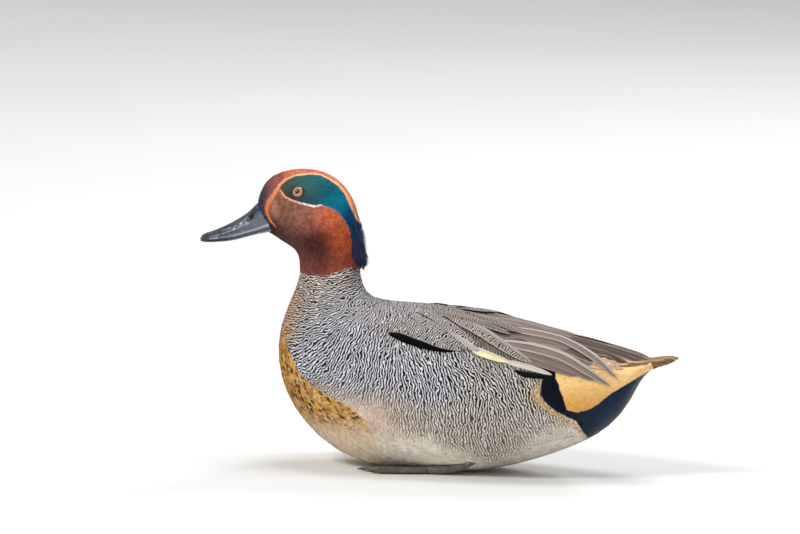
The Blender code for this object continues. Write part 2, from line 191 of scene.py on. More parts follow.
PATCH_COLOURS = (
    ("before the eye", -91, 156, 3, 86, 76, 64),
    ("over the eye", -84, 161, 4, 58, 90, 82),
    ("top", -74, 162, 5, 38, 106, 104),
    ("upper rear", -66, 157, 5, 0, 80, 92),
    ("bright band", -60, 149, 5, 0, 122, 152),
    ("behind the eye", -74, 153, 4, 24, 66, 74),
    ("under the eye", -86, 154, 3, 40, 44, 46),
    ("side of nape", -53, 141, 5, 0, 58, 96),
    ("crest root", -49, 131, 4, 38, 58, 92),
    ("crest", -45, 120, 6, 48, 48, 76),
)
LINE_COLOURS = (
    ("gape", -97, 137, 5, 214, 124, 66),
    ("lore", -101, 145, 5, 222, 116, 74),
    ("before the eye", -97, 152, 5, 228, 134, 86),
    ("brow", -90, 161, 6, 234, 162, 114),
    ("crown", -75, 166, 7, 246, 200, 158),
    # Partly painted light: the cream line is painted lighter at the nape, where it turns from the lamps.
    ("nape", -53, 150, 6, 255, 192, 132),
    ("foot of nape", -48, 138, 5, 240, 180, 138),
    ("under the eye", -86, 151, 5, 232, 176, 148),
    ("behind the eye", -73, 148, 5, 248, 226, 212),
    ("rear of cheek", -56, 143, 6, 206, 140, 116),
)
# The pale bars' colours, each with how strongly dark bars cross them.
BAR_COLOURS = (
    ("collar", -66, 106, 8, 222, 208, 196, 0.95),
    ("front of neck", -84, 99, 6, 204, 180, 160, 0.75),
    ("upper breast", -86, 86, 7, 204, 176, 156, 0.8),
    ("shoulder", -60, 84, 10, 200, 198, 202, 0.93),
    ("side of breast", -50, 62, 12, 208, 208, 218, 0.95),
    ("flank", 0, 56, 13, 212, 212, 220, 0.98),
    ("rear flank", 45, 52, 14, 212, 207, 200, 1.0),
    ("before the vent", 62, 50, 4, 222, 198, 164, 0.9),
    ("under the breast", -60, 44, 5, 196, 170, 146, 0.35),
    ("fore belly", -44, 36, 7, 206, 184, 164, 0.06),
    ("low fore flank", -24, 33, 7, 206, 184, 166, 0.12),
    ("low flank", -6, 33, 7, 214, 198, 184, 0.5),
    ("low mid flank", 16, 32, 8, 216, 202, 188, 0.72),
    ("low rear flank", 45, 30, 9, 218, 206, 192, 0.7),
    ("belly", 0, 8, 14, 232, 222, 206, 0.0),
    ("breast keel", -50, 22, 10, 226, 206, 176, 0.0),
    ("lower belly", 60, 16, 12, 230, 220, 206, 0.1),
    ("mantle", -25, 93, 9, 200, 194, 194, 0.8),
    ("upper back", 10, 91, 8, 172, 163, 158, 0.6),
    ("shoulder feathers", 5, 80, 8, 206, 198, 190, 0.9),
    ("inner wing", 22, 83, 5, 150, 142, 136, 0.6),
    ("tertials", 38, 77, 6, 124, 112, 104, 0.1),
    ("rear tertials", 58, 72, 7, 92, 80, 74, 0.0),
    ("lower back", 50, 84, 7, 118, 104, 96, 0.1),
    ("wing tip", 80, 68, 8, 88, 76, 68, 0.0),
    ("rump", 98, 70, 8, 150, 116, 88, 0.0),
)


def polyline(points):
    return np.array([p[:2] for p in points], float)


def nearest_on(line, y, z):
    """For each place, the way from the line to it, where along the line that is and the side it lies on."""
    start, end = line[:-1], line[1:]
    along = end - start
    place = np.stack([y, z], -1)[:, None, :]
    share = ((place - start) * along).sum(-1) / (along**2).sum(-1)
    share = share.clip(0, 1)
    apart = place - start - share[..., None] * along
    distance = np.linalg.norm(apart, axis=-1)
    pick = distance.argmin(1)
    row = np.arange(len(pick))
    cross = along[pick, 0] * apart[row, pick, 1] - along[pick, 1] * apart[row, pick, 0]
    return apart[row, pick], pick + share[row, pick], np.sign(cross)


def beside(points, y, z):
    """Signed distance from an open line, positive on its left as it runs."""
    apart, _, side = nearest_on(polyline(points), y, z)
    return np.linalg.norm(apart, axis=1) * side


def within(outline, y, z):
    """Signed distance from a closed outline, positive inside it."""
    ring = polyline(outline + outline[:1])
    distance = np.linalg.norm(nearest_on(ring, y, z)[0], axis=1)
    inside = np.zeros(len(y), bool)
    for (y0, z0), (y1, z1) in zip(ring[:-1], ring[1:], strict=True):
        crosses = (z0 > z) != (z1 > z)
        at = y0 + (z - z0) * (y1 - y0) / (z1 - z0 if z1 != z0 else 1.0)
        inside ^= crosses & (y < at)
    return np.where(inside, distance, -distance)


def on_stripe(points, places, normals):
    """How far inside a stripe of varying half width each place is, measured along the surface."""
    apart, station, _ = nearest_on(polyline(points), places[:, 1], places[:, 2])
    distance = np.linalg.norm(apart, axis=1)
    into_surface = (apart * normals[:, 1:]).sum(1) / (distance + 1e-9)
    slope = np.sqrt((1 - into_surface**2).clip(0.06))
    half = np.interp(station, np.arange(len(points)), [p[2] for p in points])
    return half - distance / slope


def blended(colours, y, z):
    """The named colours blended by how near each is."""
    weights = np.stack(
        [np.exp(-((y - cy) ** 2 + (z - cz) ** 2) / (2 * reach**2)) + 1e-12
         * np.exp(-np.hypot(y - cy, z - cz) / 20)
         for _, cy, cz, reach, *_ in colours]
    )  # fmt: skip
    weights /= weights.sum(0)
    return np.einsum("kn,kc->nc", weights, np.array([(*linear(*c[4:7]), *c[7:]) for c in colours]))


def with_alpha(colour):
    return np.hstack([colour, np.ones((len(colour), 4 - colour.shape[1]))])


def head_markings(places, normals):
    y, z = places[:, 1], places[:, 2]
    upper, lower = on_stripe(UPPER_LINE, places, normals), on_stripe(LOWER_LINE, places, normals)
    return {
        "cheek": with_alpha(blended(CHEEK_COLOURS, y, z)),
        "patch": with_alpha(blended(PATCH_COLOURS, y, z)),
        "cream": with_alpha(blended(LINE_COLOURS, y, z)),
        "in_patch": within(EYE_PATCH, y, z),
        "in_line": np.maximum(upper, lower),
    }


def body_markings(places, _):
    y, z = places[:, 1], places[:, 2]
    return {
        "pale": blended(BAR_COLOURS, y, z),
        "in_breast": -beside(BREAST, y, z),
        "in_arc": within(BUFF_ARC, y, z),
        "in_vent": within(VENT, y, z),
        "in_cream": within(CREAM_PATCH, y, z),
    }


# ---- the plumage's outer surface


def placed(name, data):
    """An object of this mesh, light or camera."""
    made = bpy.data.objects.new(name, data)
    bpy.context.collection.objects.link(made)
    return made


def coloured(name, mesh, *materials):
    """An object of this mesh in these materials."""
    for material in materials:
        mesh.materials.append(material)
    return placed(name, mesh)


def numbers(items, name, width, kind=np.float32):
    found = np.empty(len(items) * width, kind)
    items.foreach_get(name, found)
    return found.reshape(-1, width)


def joined_mesh(nodes, *fillings):
    """One closed mesh through all these nodes and fillings, with the cuts between them filled."""
    verts, faces = [], []
    for mesh in [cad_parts[node].data for node in nodes] + [*fillings]:
        start = len(verts)
        verts += [v.co[:] for v in mesh.vertices]
        faces += [[i + start for i in p.vertices] for p in mesh.polygons]
    mesh = bpy.data.meshes.new("joined")
    mesh.from_pydata(verts, [], faces)
    source = placed("joined", mesh)
    source.modifiers.new("weld", "WELD").merge_threshold = 0.001 * MM
    remesh = source.modifiers.new("remesh", "REMESH")
    remesh.mode = "VOXEL"
    remesh.voxel_size = SKIN_VOXEL * MM
    smooth = source.modifiers.new("smooth", "SMOOTH")
    smooth.factor = 0.5
    smooth.iterations = SKIN_SMOOTHING
    graph = bpy.context.evaluated_depsgraph_get()
    whole = bpy.data.meshes.new_from_object(source.evaluated_get(graph))
    bpy.data.objects.remove(source)
    return whole


def unit(vectors):
    return vectors / (np.linalg.norm(vectors, axis=-1, keepdims=True) + 1e-12)


TRIES = 7  # random places tried in each square that is as wide as the spacing


class Envelope:
    """The outer surface of the plumage, where feathers are laid."""

    def __init__(self, mesh):
        mesh.calc_loop_triangles()
        self.points = numbers(mesh.vertices, "co", 3).astype(float) / MM
        self.normals = numbers(mesh.vertex_normals, "vector", 3).astype(float)
        self.triangles = numbers(mesh.loop_triangles, "vertices", 3, np.int32)
        self.tree = BVHTree.FromPolygons(self.points.tolist(), self.triangles.tolist())

    def lay(self, places):
        """The nearest point of the surface to each place, and its smooth normal."""
        hits = [self.tree.find_nearest(p) for p in places.tolist()]
        found = np.array([hit[0] for hit in hits])
        corner = self.triangles[[hit[2] for hit in hits]]
        a, b, c = (self.points[corner[:, k]] for k in range(3))
        full = np.cross(b - a, c - a)
        size = (full**2).sum(1) + 1e-12
        share_b = (np.cross(found - a, c - a) * full).sum(1) / size
        share_c = (np.cross(b - a, found - a) * full).sum(1) / size
        share = np.stack([1 - share_b - share_c, share_b, share_c], 1).clip(0, 1)
        normals = (self.normals[corner] * share[..., None]).sum(1)
        return found, unit(normals)

    def scattered(self, keep, spacing, seed):
        """Random places at least spacing apart, where keep says so, with their normals."""
        rng = np.random.default_rng(seed)
        corner = self.points[self.triangles]
        area = np.linalg.norm(np.cross(corner[:, 1] - corner[:, 0], corner[:, 2] - corner[:, 0]), axis=1) / 2
        inside = keep(corner.mean(1))
        area = area * inside
        tries = int(area.sum() / spacing**2 * TRIES)
        pick = rng.choice(len(area), tries, p=area / area.sum())
        u, v = rng.random((2, tries))
        flip = u + v > 1
        u, v = np.where(flip, 1 - u, u), np.where(flip, 1 - v, v)
        share = np.stack([1 - u - v, u, v], 1)[..., None]
        places = (corner[pick] * share).sum(1)
        normals = unit((self.normals[self.triangles[pick]] * share).sum(1))
        taken, chosen = {}, []
        cells = np.floor(places / spacing).astype(int).tolist()
        for k, (place, (i, j, m)) in enumerate(zip(places.tolist(), cells, strict=True)):
            near = (
                other
                for di in (-1, 0, 1)
                for dj in (-1, 0, 1)
                for dm in (-1, 0, 1)
                for other in taken.get((i + di, j + dj, m + dm), ())
            )
            if all(math.dist(place, other) >= spacing for other in near):
                taken.setdefault((i, j, m), []).append(place)
                chosen.append(k)
        return places[chosen], normals[chosen]


def heading_at(places, normals):
    """The direction in which feathers lie, on the surface."""
    guides = np.array([g[1:] for g in LIE], float)
    apart = (places[:, None, 1] - guides[:, 0]) ** 2 + (places[:, None, 2] - guides[:, 1]) ** 2
    weight = 1 / (apart + GUIDE_BLUR) ** GUIDE_FALL
    along = (weight[..., None] * guides[:, 2:]).sum(1)
    flow = np.zeros_like(places)
    flow[:, 1:] = along
    flow = unit(flow)
    return unit(flow - (flow * normals).sum(1, keepdims=True) * normals)


def unrolled(places):
    """Where each place lies on the skin unrolled from its spine, in millimetres."""
    spine = polyline(SPINE)
    apart, station, side = nearest_on(spine, places[:, 1], places[:, 2])
    distance = np.linalg.norm(apart, axis=1)
    lengths = np.linalg.norm(np.diff(spine, axis=0), axis=1)
    run = np.interp(station, np.arange(len(spine)), np.concatenate([[0], lengths.cumsum()]))
    radius = np.hypot(places[:, 0], distance)
    turn = np.arctan2(places[:, 0], distance * side)
    return np.stack([run, turn * radius], 1)


# ---- vanes

# A vane's ring is its left edge, ridge, right edge and underside.
RING = 4
MAP_EDGE = 0.01
SIDES = np.array((-1.0, 0, 1, 0))


def write_mesh(name, rings, attributes, sheet):
    """Closed vanes from rings of points, shaped (vane, row, point, xyz), as one mesh."""
    count, rows, around, _ = rings.shape
    grid = np.arange(count * rows * around).reshape(count, rows, around)
    after = np.roll(grid, -1, axis=2)
    sides = np.stack([grid[:, :-1], after[:, :-1], after[:, 1:], grid[:, 1:]], -1)
    caps = np.stack([grid[:, 0, ::-1], grid[:, -1]], 1).reshape(count, -1)
    per_vane = np.concatenate([sides.reshape(count, -1), caps], 1)
    sizes = np.tile(np.concatenate([np.full((rows - 1) * around, 4), [around, around]]), count)
    mesh = bpy.data.meshes.new(name)
    mesh.vertices.add(grid.size)
    mesh.vertices.foreach_set("co", (rings * MM).astype(np.float32).ravel())
    mesh.loops.add(per_vane.size)
    mesh.loops.foreach_set("vertex_index", per_vane.astype(np.int32).ravel())
    mesh.polygons.add(len(sizes))
    mesh.polygons.foreach_set("loop_start", np.concatenate([[0], sizes.cumsum()[:-1]]).astype(np.int32))
    mesh.update(calc_edges=True)
    smooth = np.tile(np.arange((rows - 1) * around + 2) < (rows - 1) * around, count)
    mesh.polygons.foreach_set("use_smooth", smooth)
    rim = np.zeros((count, rows, around), np.int8)
    rim[:, :, 0] = 1
    rim[:, :, around // 2] = 2
    ends = rim.ravel()[numbers(mesh.edges, "vertices", 2, np.int32)]
    sharp = (ends[:, 0] == ends[:, 1]) & (ends[:, 0] > 0)
    mesh.attributes.new("sharp_edge", "BOOLEAN", "EDGE").data.foreach_set("value", sharp)
    for key, values in attributes.items():
        add_attribute(mesh, key, values)
    flat = sheet.reshape(-1, 2)[per_vane.ravel()]
    mesh.uv_layers.new(name="OFBake").data.foreach_set("uv", flat.astype(np.float32).ravel())
    return mesh


def add_attribute(mesh, key, values):
    values = np.asarray(values, np.float32)
    width = 1 if values.ndim == 1 else values.shape[1]
    kind, field = {1: ("FLOAT", "value"), 3: ("FLOAT_VECTOR", "vector"), 4: ("FLOAT_COLOR", "color")}[width]
    mesh.attributes.new(key, kind, "POINT").data.foreach_set(field, values.ravel())


def fitted_sheet(sheet):
    """The unrolled places scaled alike both ways into the square map."""
    low, high = sheet.reshape(-1, 2).min(0), sheet.reshape(-1, 2).max(0)
    return MAP_EDGE + (1 - 2 * MAP_EDGE) * (sheet - low) / (high - low).max()


def laid(envelope, place, normal, shape, length, half, turn, tint):
    """Row by row from the roots: the vanes' rings, their places on the plumage, headings and normals."""
    count, rows = half.shape
    rings, lie, heads, facing = np.empty((4, count, rows, RING, 3))
    for row, share in enumerate(np.linspace(0, 1, rows)):
        facing[:, row] = normal[:, None]
        ahead = heading_at(place, normal)
        across = np.cross(ahead, normal)
        ahead = unit(ahead * np.cos(turn) + across * np.sin(turn))
        across = np.cross(ahead, normal)
        to_edge = half[:, row, None] * across
        height = -shape["depth"] * (1 - share) ** 1.3 + shape["lift"] * share**2
        height = height + shape["ruffle"] * (tint[:, None] - 0.5) * share
        centre = place + normal * height
        ridge, underside = centre + shape["camber"] * normal, centre - shape["thick"] * normal
        rings[:, row] = np.stack([centre - to_edge, ridge, centre + to_edge, underside], 1)
        lie[:, row] = np.stack([place - to_edge, place, place + to_edge, place], 1)
        fan = np.radians(shape["fan"]) * shape["profile"][row]
        left = ahead * math.cos(fan) - across * math.sin(fan)
        right = ahead * math.cos(fan) + across * math.sin(fan)
        heads[:, row] = np.stack([left, ahead, right, ahead], 1)
        place, normal = envelope.lay(place + ahead * (length / (rows - 1))[:, None])
    return rings, lie.reshape(-1, 3), heads.reshape(-1, 3), facing.reshape(-1, 3)


def coat(name, envelope, roots, normals, shape, markings, seed):
    """Vanes laid from their roots along the plumage, rear ones first, as one mesh."""
    rng = np.random.default_rng(seed)
    order = np.argsort(-unrolled(roots)[:, 0], kind="stable")
    roots, normals = roots[order], normals[order]
    count = len(roots)
    length = shape["length"] * rng.uniform(0.85, 1.15, count) * face_scale(roots)
    length = np.minimum(length, free_run(roots, heading_at(roots, normals)))
    width = shape["width"] * rng.uniform(0.9, 1.1, count)
    turn = np.radians(rng.normal(0, shape["stray"], count))[:, None]
    tint = rng.random(count)
    half = width[:, None] / 2 * np.array(shape["profile"])
    rings, lie, heads, facing = laid(envelope, roots, normals, shape, length, half, turn, tint)
    share = np.linspace(0, 1, half.shape[1])
    side, along, tints = np.broadcast_arrays(SIDES, share[:, None], tint[:, None, None])
    web = np.stack([side, along, tints], -1).reshape(-1, 3)
    attributes = {"lie": lie, "heading": heads, "web": web, **markings(lie, facing)}
    patch = np.stack([along * length[:, None, None], -side * half[..., None]], -1) * shape["patch"]
    sheet = unrolled(roots)[:, None, None, :] + patch
    return write_mesh(name, rings, attributes, fitted_sheet(sheet))


HEAD_TUFT = {
    "length": 2.9, "width": 0.86, "profile": (0.7, 1.0, 0.8, 0.15), "depth": 0.36, "lift": 0.02,
    "ruffle": 0.12, "camber": 0.04, "thick": 0.04, "stray": 5, "fan": 0, "patch": 0.35,
}  # fmt: skip
NECK_TUFT = {
    "length": 5.0, "width": 2.6, "profile": (0.6, 1.0, 1.0, 0.75, 0.2), "depth": 0.7, "lift": 0.05,
    "ruffle": 0.15, "camber": 0.08, "thick": 0.08, "stray": 3, "fan": 4, "patch": 1.0,
}  # fmt: skip
BODY_VANE = {
    "length": 7.6, "width": 4.3, "profile": (0.6, 0.95, 1.0, 0.92, 0.66, 0.2), "depth": 0.65, "lift": 0.04,
    "ruffle": 0.1, "camber": 0.08, "thick": 0.08, "stray": 2, "fan": 5, "patch": 1.0,
}  # fmt: skip
CREST_TUFT = {
    "length": 9.0, "width": 1.1, "profile": (0.5, 1.0, 0.9, 0.7, 0.45, 0.1), "depth": 0.4, "lift": 1.3,
    "ruffle": 2.0, "camber": 0.08, "thick": 0.08, "stray": 9, "fan": 0, "patch": 0.35,
}  # fmt: skip
HEAD_SPACING = 0.63
NECK_SPACING = 1.5
BODY_SPACING = 2.2
CREST_SPACING = 0.9
EYE_CLEAR = 3.75
SMALLEST_TUFT = 0.55


def from_eye(places):
    """Each place's offset from the nearer eye's axis, its distance along it, and its side."""
    side = np.where(places[:, :1] < 0, -1.0, 1.0) * (1, 0, 0) + (0, 1, 1)
    apart = places * side - EYE_CENTRE
    along = apart @ unit(EYE_AXIS)
    return apart - along[:, None] * unit(EYE_AXIS), along, side


def off_the_eye(places):
    offset, along, _ = from_eye(places)
    return (np.linalg.norm(offset, axis=1) > EYE_CLEAR) | (along < 0)


def free_run(roots, ahead):
    """How long a tuft may be before its tip would cross the eye."""
    offset, along, side = from_eye(roots)
    axis = unit(EYE_AXIS)
    course = ahead * side
    course = unit(course - (course @ axis)[:, None] * axis)
    toward = -(offset * course).sum(1)
    miss = (offset**2).sum(1) - toward**2
    enters = (toward > 0) & (miss < EYE_CLEAR**2) & (along > -2)
    run = toward - np.sqrt((EYE_CLEAR**2 - miss).clip(0))
    return np.where(enters, run.clip(0.7), np.inf)


def face_scale(places):
    """Tufts are smallest round the bill and the eye."""
    offset, along, _ = from_eye(places)
    apart = np.hypot(np.linalg.norm(offset, axis=1), np.minimum(along, 0))
    by_bill = np.interp(places[:, 1], [-104, -90], [SMALLEST_TUFT, 1])
    return np.minimum(np.interp(apart, [4, 12], [SMALLEST_TUFT, 1]), by_bill)


def above_collar(places):
    return -beside(COLLAR, places[:, 1], places[:, 2])


def chestnut_roots(places):
    return (above_collar(places) < -1.5) & off_the_eye(places)


def crest_roots(places):
    y, z = places[:, 1], places[:, 2]
    return (y > -50.8) & (z > 119.5) & (z < 144) & (np.abs(places[:, 0]) < 9)


def neck_roots(places):
    return (above_collar(places) > -2.5) & (places[:, 2] > 92)


def body_roots(places):
    return (places[:, 2] <= 94) & (above_collar(places) > 0) & (places[:, 1] < 131)


def on_side(left, roots):
    """The roots on one side of the middle."""
    return lambda places: ((places[:, 0] > 0) == left) & roots(places)


# ---- long feathers


def smooth_through(points, count):
    """A smooth run of count rows through the given ones, evenly along them."""
    points = np.array(points, float)
    padded = np.vstack([2 * points[0] - points[1], points, 2 * points[-1] - points[-2]])
    gaps = np.linalg.norm(np.diff(points, axis=0), axis=1)
    reached = np.concatenate([[0], gaps.cumsum()])
    station = np.interp(np.linspace(0, gaps.sum(), count), reached, range(len(points)))
    at = np.minimum(station.astype(int), len(points) - 2)
    t = (station - at)[:, None]
    a, b, c, d = (padded[at + k] for k in range(4))
    return 0.5 * (2 * b + (c - a) * t + (2 * a - 5 * b + 4 * c - d) * t**2 + (3 * b - a - 3 * c + d) * t**3)


LOOKS = ("upper", "lower", "rim")
# A style is the upper web, the lower web and the rim: each a colour, the webs with how strongly
# dark bars cross them, the rim with how dark the painted shade along the shaft is.
STYLES = {
    "plain": ((178, 165, 158, 0), (134, 118, 110, 0), (204, 192, 184, 0.75)),
    "brown": ((140, 126, 118, 0), (122, 108, 100, 0), (160, 148, 140, 0.6)),
    "half_barred": ((164, 152, 145, 0), (196, 184, 168, 0.92), (178, 166, 157, 0.6)),
    "barred": ((190, 184, 182, 0.95), (200, 194, 190, 1), (150, 142, 138, 0.35)),
    "dim_barred": ((150, 140, 133, 0.3), (158, 146, 136, 0.6), (164, 154, 147, 0.5)),
    "pale": ((184, 172, 166, 0), (176, 164, 156, 0.1), (196, 186, 180, 0.4)),
    "cream": ((206, 190, 168, 0), (246, 224, 182, 0), (250, 236, 206, 0)),
    "whitish": ((196, 184, 172, 0), (214, 202, 188, 0), (220, 210, 198, 0.2)),
    "black": ((3, 4, 9, 0), (3, 4, 10, 0), (5, 6, 14, 0)),
    "speculum": ((18, 20, 22, 0), (10, 12, 14, 0), (24, 26, 28, 0)),
    "primary": ((108, 95, 86, 0), (84, 73, 66, 0), (176, 163, 150, 0.7)),
    "covert": ((222, 190, 166, 0), (208, 166, 132, 0), (242, 222, 206, 0.7)),
    "dark_covert": ((104, 84, 72, 0), (84, 68, 60, 0), (222, 190, 160, 0.3)),
    "tail_side": ((222, 188, 150, 0), (122, 96, 76, 0), (150, 122, 98, 0.4)),
    "rectrix": ((112, 92, 74, 0), (158, 130, 96, 0), (222, 196, 160, 0.6)),
}  # fmt: skip

# The left side's long feathers, those underneath first: their style, half widths of the upper and
# lower web, how high they lie over the plumage, and their path from root to tip.
QUILLS = (
    ("tail_3", "tail_side", 3, 3, 0.5, (9, 96, 65), (7.5, 116, 66), (6, 130, 68.8)),
    ("tail_2", "rectrix", 3, 3, 0.65, (4.5, 104, 66), (5, 120, 68), (4, 134.5, 70.4)),
    ("tail_1", "rectrix", 2.8, 2.8, 0.8, (2, 105, 68), (2, 122, 69.5), (1.4, 139.4, 71)),
    ("covert_6", "covert", 3, 2.8, 0.7, (20, 74, 70), (19.5, 92, 65.4), (14, 109, 64.6)),
    ("covert_3", "covert", 3.4, 3.4, 0.8, (9, 76, 74), (8.6, 100, 69.6), (5, 120, 69)),
    ("covert_2", "dark_covert", 3.2, 3.2, 0.9, (3, 74, 76), (3, 102, 70.4), (2, 127, 70.6)),
    ("covert_1", "covert", 2.8, 2.8, 1, (17, 74, 71), (15.6, 94, 66.6), (9.5, 113, 67)),
    ("speculum", "speculum", 1.7, 1.9, 0.2,
     (37, 47, 64.2), (37.6, 54.5, 61.8), (36.2, 63, 60.7), (34.2, 73, 60.2)),
    ("primary_5", "primary", 4, 4, 1.4, (18.5, 48, 78), (19.5, 76, 69.8), (17, 98, 66.6)),
    ("primary_4", "primary", 4, 4, 1.5, (14.5, 48, 80), (15.8, 80, 70.6), (13.6, 104, 67.4)),
    ("primary_3", "primary", 4, 4, 1.6, (9.6, 46, 82), (11, 84, 71.4), (10, 111, 67.4)),
    ("primary_2", "primary", 3.8, 3.8, 1.7, (7, 44, 83), (7.2, 86, 72.4), (6.8, 117, 68)),
    ("primary_1", "primary", 3.6, 3.6, 1.8, (4.6, 44, 84), (4.8, 88, 73), (4.2, 122, 67.8)),
    ("tertial_7", "brown", 4.6, 5, 1.8, (26, 40, 78), (25, 58, 73), (22, 76, 68.6), (20, 92, 65)),
    ("tertial_6", "brown", 4.6, 5, 1.9, (20, 40, 80), (17, 58, 76), (14, 76, 71.6), (14, 90, 68.4)),
    ("margin", "whitish", 2, 1.8, 0.8, (36.2, 40, 68), (35.2, 52, 65.8), (34, 63, 63.2), (33.4, 71, 61.2)),
    ("tertial_5", "brown", 3.8, 3.4, 1.2, (31, 38, 75), (31.4, 54, 69.6), (30, 70, 64.8), (28.6, 84, 60.6)),
    ("tertial_4", "brown", 3.6, 4.2, 1.5,
     (30, 33, 77.4), (29.4, 50, 73), (27.8, 66, 68.6), (27, 80, 64.4), (26.4, 94, 58.6)),
    ("back_3", "dim_barred", 4, 4.4, 1.9, (15, 14, 89), (14, 32, 85), (11, 50, 80.5), (9.6, 66, 76.4)),
    ("back_2", "brown", 4.2, 4.2, 2,
     (10, 10, 91), (9, 33, 86), (7.4, 55, 80), (6, 72, 75.4), (5, 88, 71.4)),
    ("back_1", "brown", 3.8, 3.8, 2.1,
     (4.4, 0, 93), (4, 28, 88), (3.8, 50, 82), (3.6, 70, 76.2), (3.4, 92, 70.8)),
    ("tertial_2", "plain", 2.6, 4.6, 2.3,
     (25, 28, 80), (27.5, 40, 77), (24.5, 57, 73.7), (23.2, 74, 69.3), (24.5, 89, 63.3), (22.4, 102.6, 55.6)),
    ("tertial_1", "plain", 2.8, 4.8, 2.8,
     (18, 20, 86.5), (16, 38, 82.5), (12.6, 55, 78.4), (11, 72, 74), (15.3, 90, 68), (20.4, 106, 59.4)),
    ("scapular_10", "dim_barred", 3.6, 4, 2.4,
     (19, -4, 90), (19, 12, 87.4), (19.6, 28, 83.4), (21, 44, 78.6)),
    ("scapular_9", "dim_barred", 3.6, 4, 2.8,
     (14, 4, 92), (14.6, 20, 88.4), (15.6, 36, 84), (17.6, 51, 78.8)),
    ("cream_edge", "cream", 2.2, 2.6, 1.3, (35, 20, 76), (36.6, 28, 73), (37, 37, 70), (36.2, 47, 67.2)),
    ("scapular_8", "pale", 2.6, 2.2, 1.6,
     (25, -5, 89), (29, 4, 85.4), (33.6, 15, 79.8), (36.6, 26, 74), (36.9, 34, 71.4)),
    ("black_edge", "black", 2.7, 2.1, 0.5,
     (39.6, -28, 82.4), (40.9, -16, 78.8), (41, -4, 75.4), (40.2, 6, 73.2), (39.6, 15.5, 72)),
    ("scapular_2", "barred", 2.4, 1.5, 0.9,
     (36, -32, 86.4), (38.4, -22, 84.4), (39.6, -10, 80.8), (39.9, 2, 77), (39.5, 13, 73.8)),
    ("scapular_3", "barred", 2.8, 2.6, 1.1,
     (32, -30, 88.6), (36, -19, 85.4), (38.4, -7, 81), (39.4, 6, 76), (39, 16.5, 72.8)),
    ("scapular_4", "barred", 3, 3, 1.4,
     (28, -24, 90), (33, -12, 86.9), (36.4, 1, 81), (38.4, 13, 75), (38.4, 20.5, 72.6)),
    ("scapular_5", "barred", 3.2, 3.2, 1.7,
     (23, -18, 91.6), (29, -7, 88.4), (33.6, 5, 82.8), (36.8, 18, 76), (37.4, 26.5, 73)),
    ("scapular_6", "barred", 3.4, 3.2, 2,
     (18, -14, 92.6), (23, -3, 90.2), (28.4, 8, 85.4), (33, 20, 79.6), (35, 28, 76)),
    ("scapular_7", "half_barred", 2.9, 5.6, 2.3,
     (14, -3, 92.6), (17.4, 6, 90.2), (22.4, 20, 84.8), (28.6, 38, 77), (31.6, 51, 70.4), (32.5, 59, 66.6)),
)  # fmt: skip
# What fills the groove between the folded wings, for the long feathers to lie on: at each y the
# half width and height of its top, then those of its foot.
BETWEEN_WINGS = (
    (30, 6, 86.2, 10, 85.6), (42, 8, 85.5, 13, 84.8), (58, 7, 82.4, 13, 81.1), (76, 3, 79.2, 13, 76.6),
    (88, 3, 77.1, 13, 73.6), (94, 3, 75.9, 13, 72.2), (100, 3, 74.6, 12, 71), (106, 3, 73.4, 9, 70.6),
    (112, 3, 72.2, 7, 69.9), (120, 3, 69.4, 6, 67.6),
)  # fmt: skip
FILLING_DEPTH = 8
QUILL_ROWS = 22
QUILL_TOP = 7
QUILL_THICK = 0.3
QUILL_ARCH = 0.5
QUILL_ROOT_DEPTH = 1.2
TINT_STEP = 0.618


def quill_outline(share):
    """A long feather's width from root to tip, as a share of its widest."""
    return np.minimum(1, 0.12 + 2.6 * share) * (1 - share**3.6) ** 0.62


def quill(envelope, path, upper, lower, level):
    """The rings of one left-side feather, with each point's place on the plumage and direction."""
    centre, normal = envelope.lay(smooth_through(path, QUILL_ROWS))
    ahead = unit(np.gradient(centre, axis=0))
    down = unit(np.cross(ahead, normal))
    share = np.linspace(0, 1, QUILL_ROWS)
    outline = quill_outline(share) + 0.02
    across = np.linspace(-1, 1, QUILL_TOP)
    width = np.where(across < 0, upper, lower)
    flat = centre[:, None] + down[:, None] * (across * width * outline[:, None])[..., None]
    flat[..., 0] = np.maximum(flat[..., 0], 0.12)
    lie, normals = envelope.lay(flat.reshape(-1, 3))
    lie, normals = lie.reshape(flat.shape), normals.reshape(flat.shape)
    rise = level * np.minimum(1, 1.8 * share) * (1 - 0.45 * share**3)
    rise = rise - QUILL_ROOT_DEPTH * (1 - 5 * share).clip(0)
    arch = QUILL_ARCH * (1 - across**2) * outline[:, None]
    top = lie + normals * (rise[:, None] + arch)[..., None]
    inner = slice(QUILL_TOP - 2, 0, -1)
    under = (top - normals * (QUILL_THICK * outline[:, None, None] + 0.05))[:, inner]
    rings = np.concatenate([top, under], 1)
    places = np.concatenate([lie, lie[:, inner]], 1)
    side = np.concatenate([across, across[inner]])
    return rings, places, np.broadcast_to(ahead[:, None], rings.shape), side


def between_wings():
    rings = [
        [(-foot, y, low), (-half, y, top), (half, y, top), (foot, y, low),
         (foot, y, low - FILLING_DEPTH), (-foot, y, low - FILLING_DEPTH)]
        for y, half, top, foot, low in BETWEEN_WINGS
    ]  # fmt: skip
    return closed_loft("between_wings", np.array(rings, float))


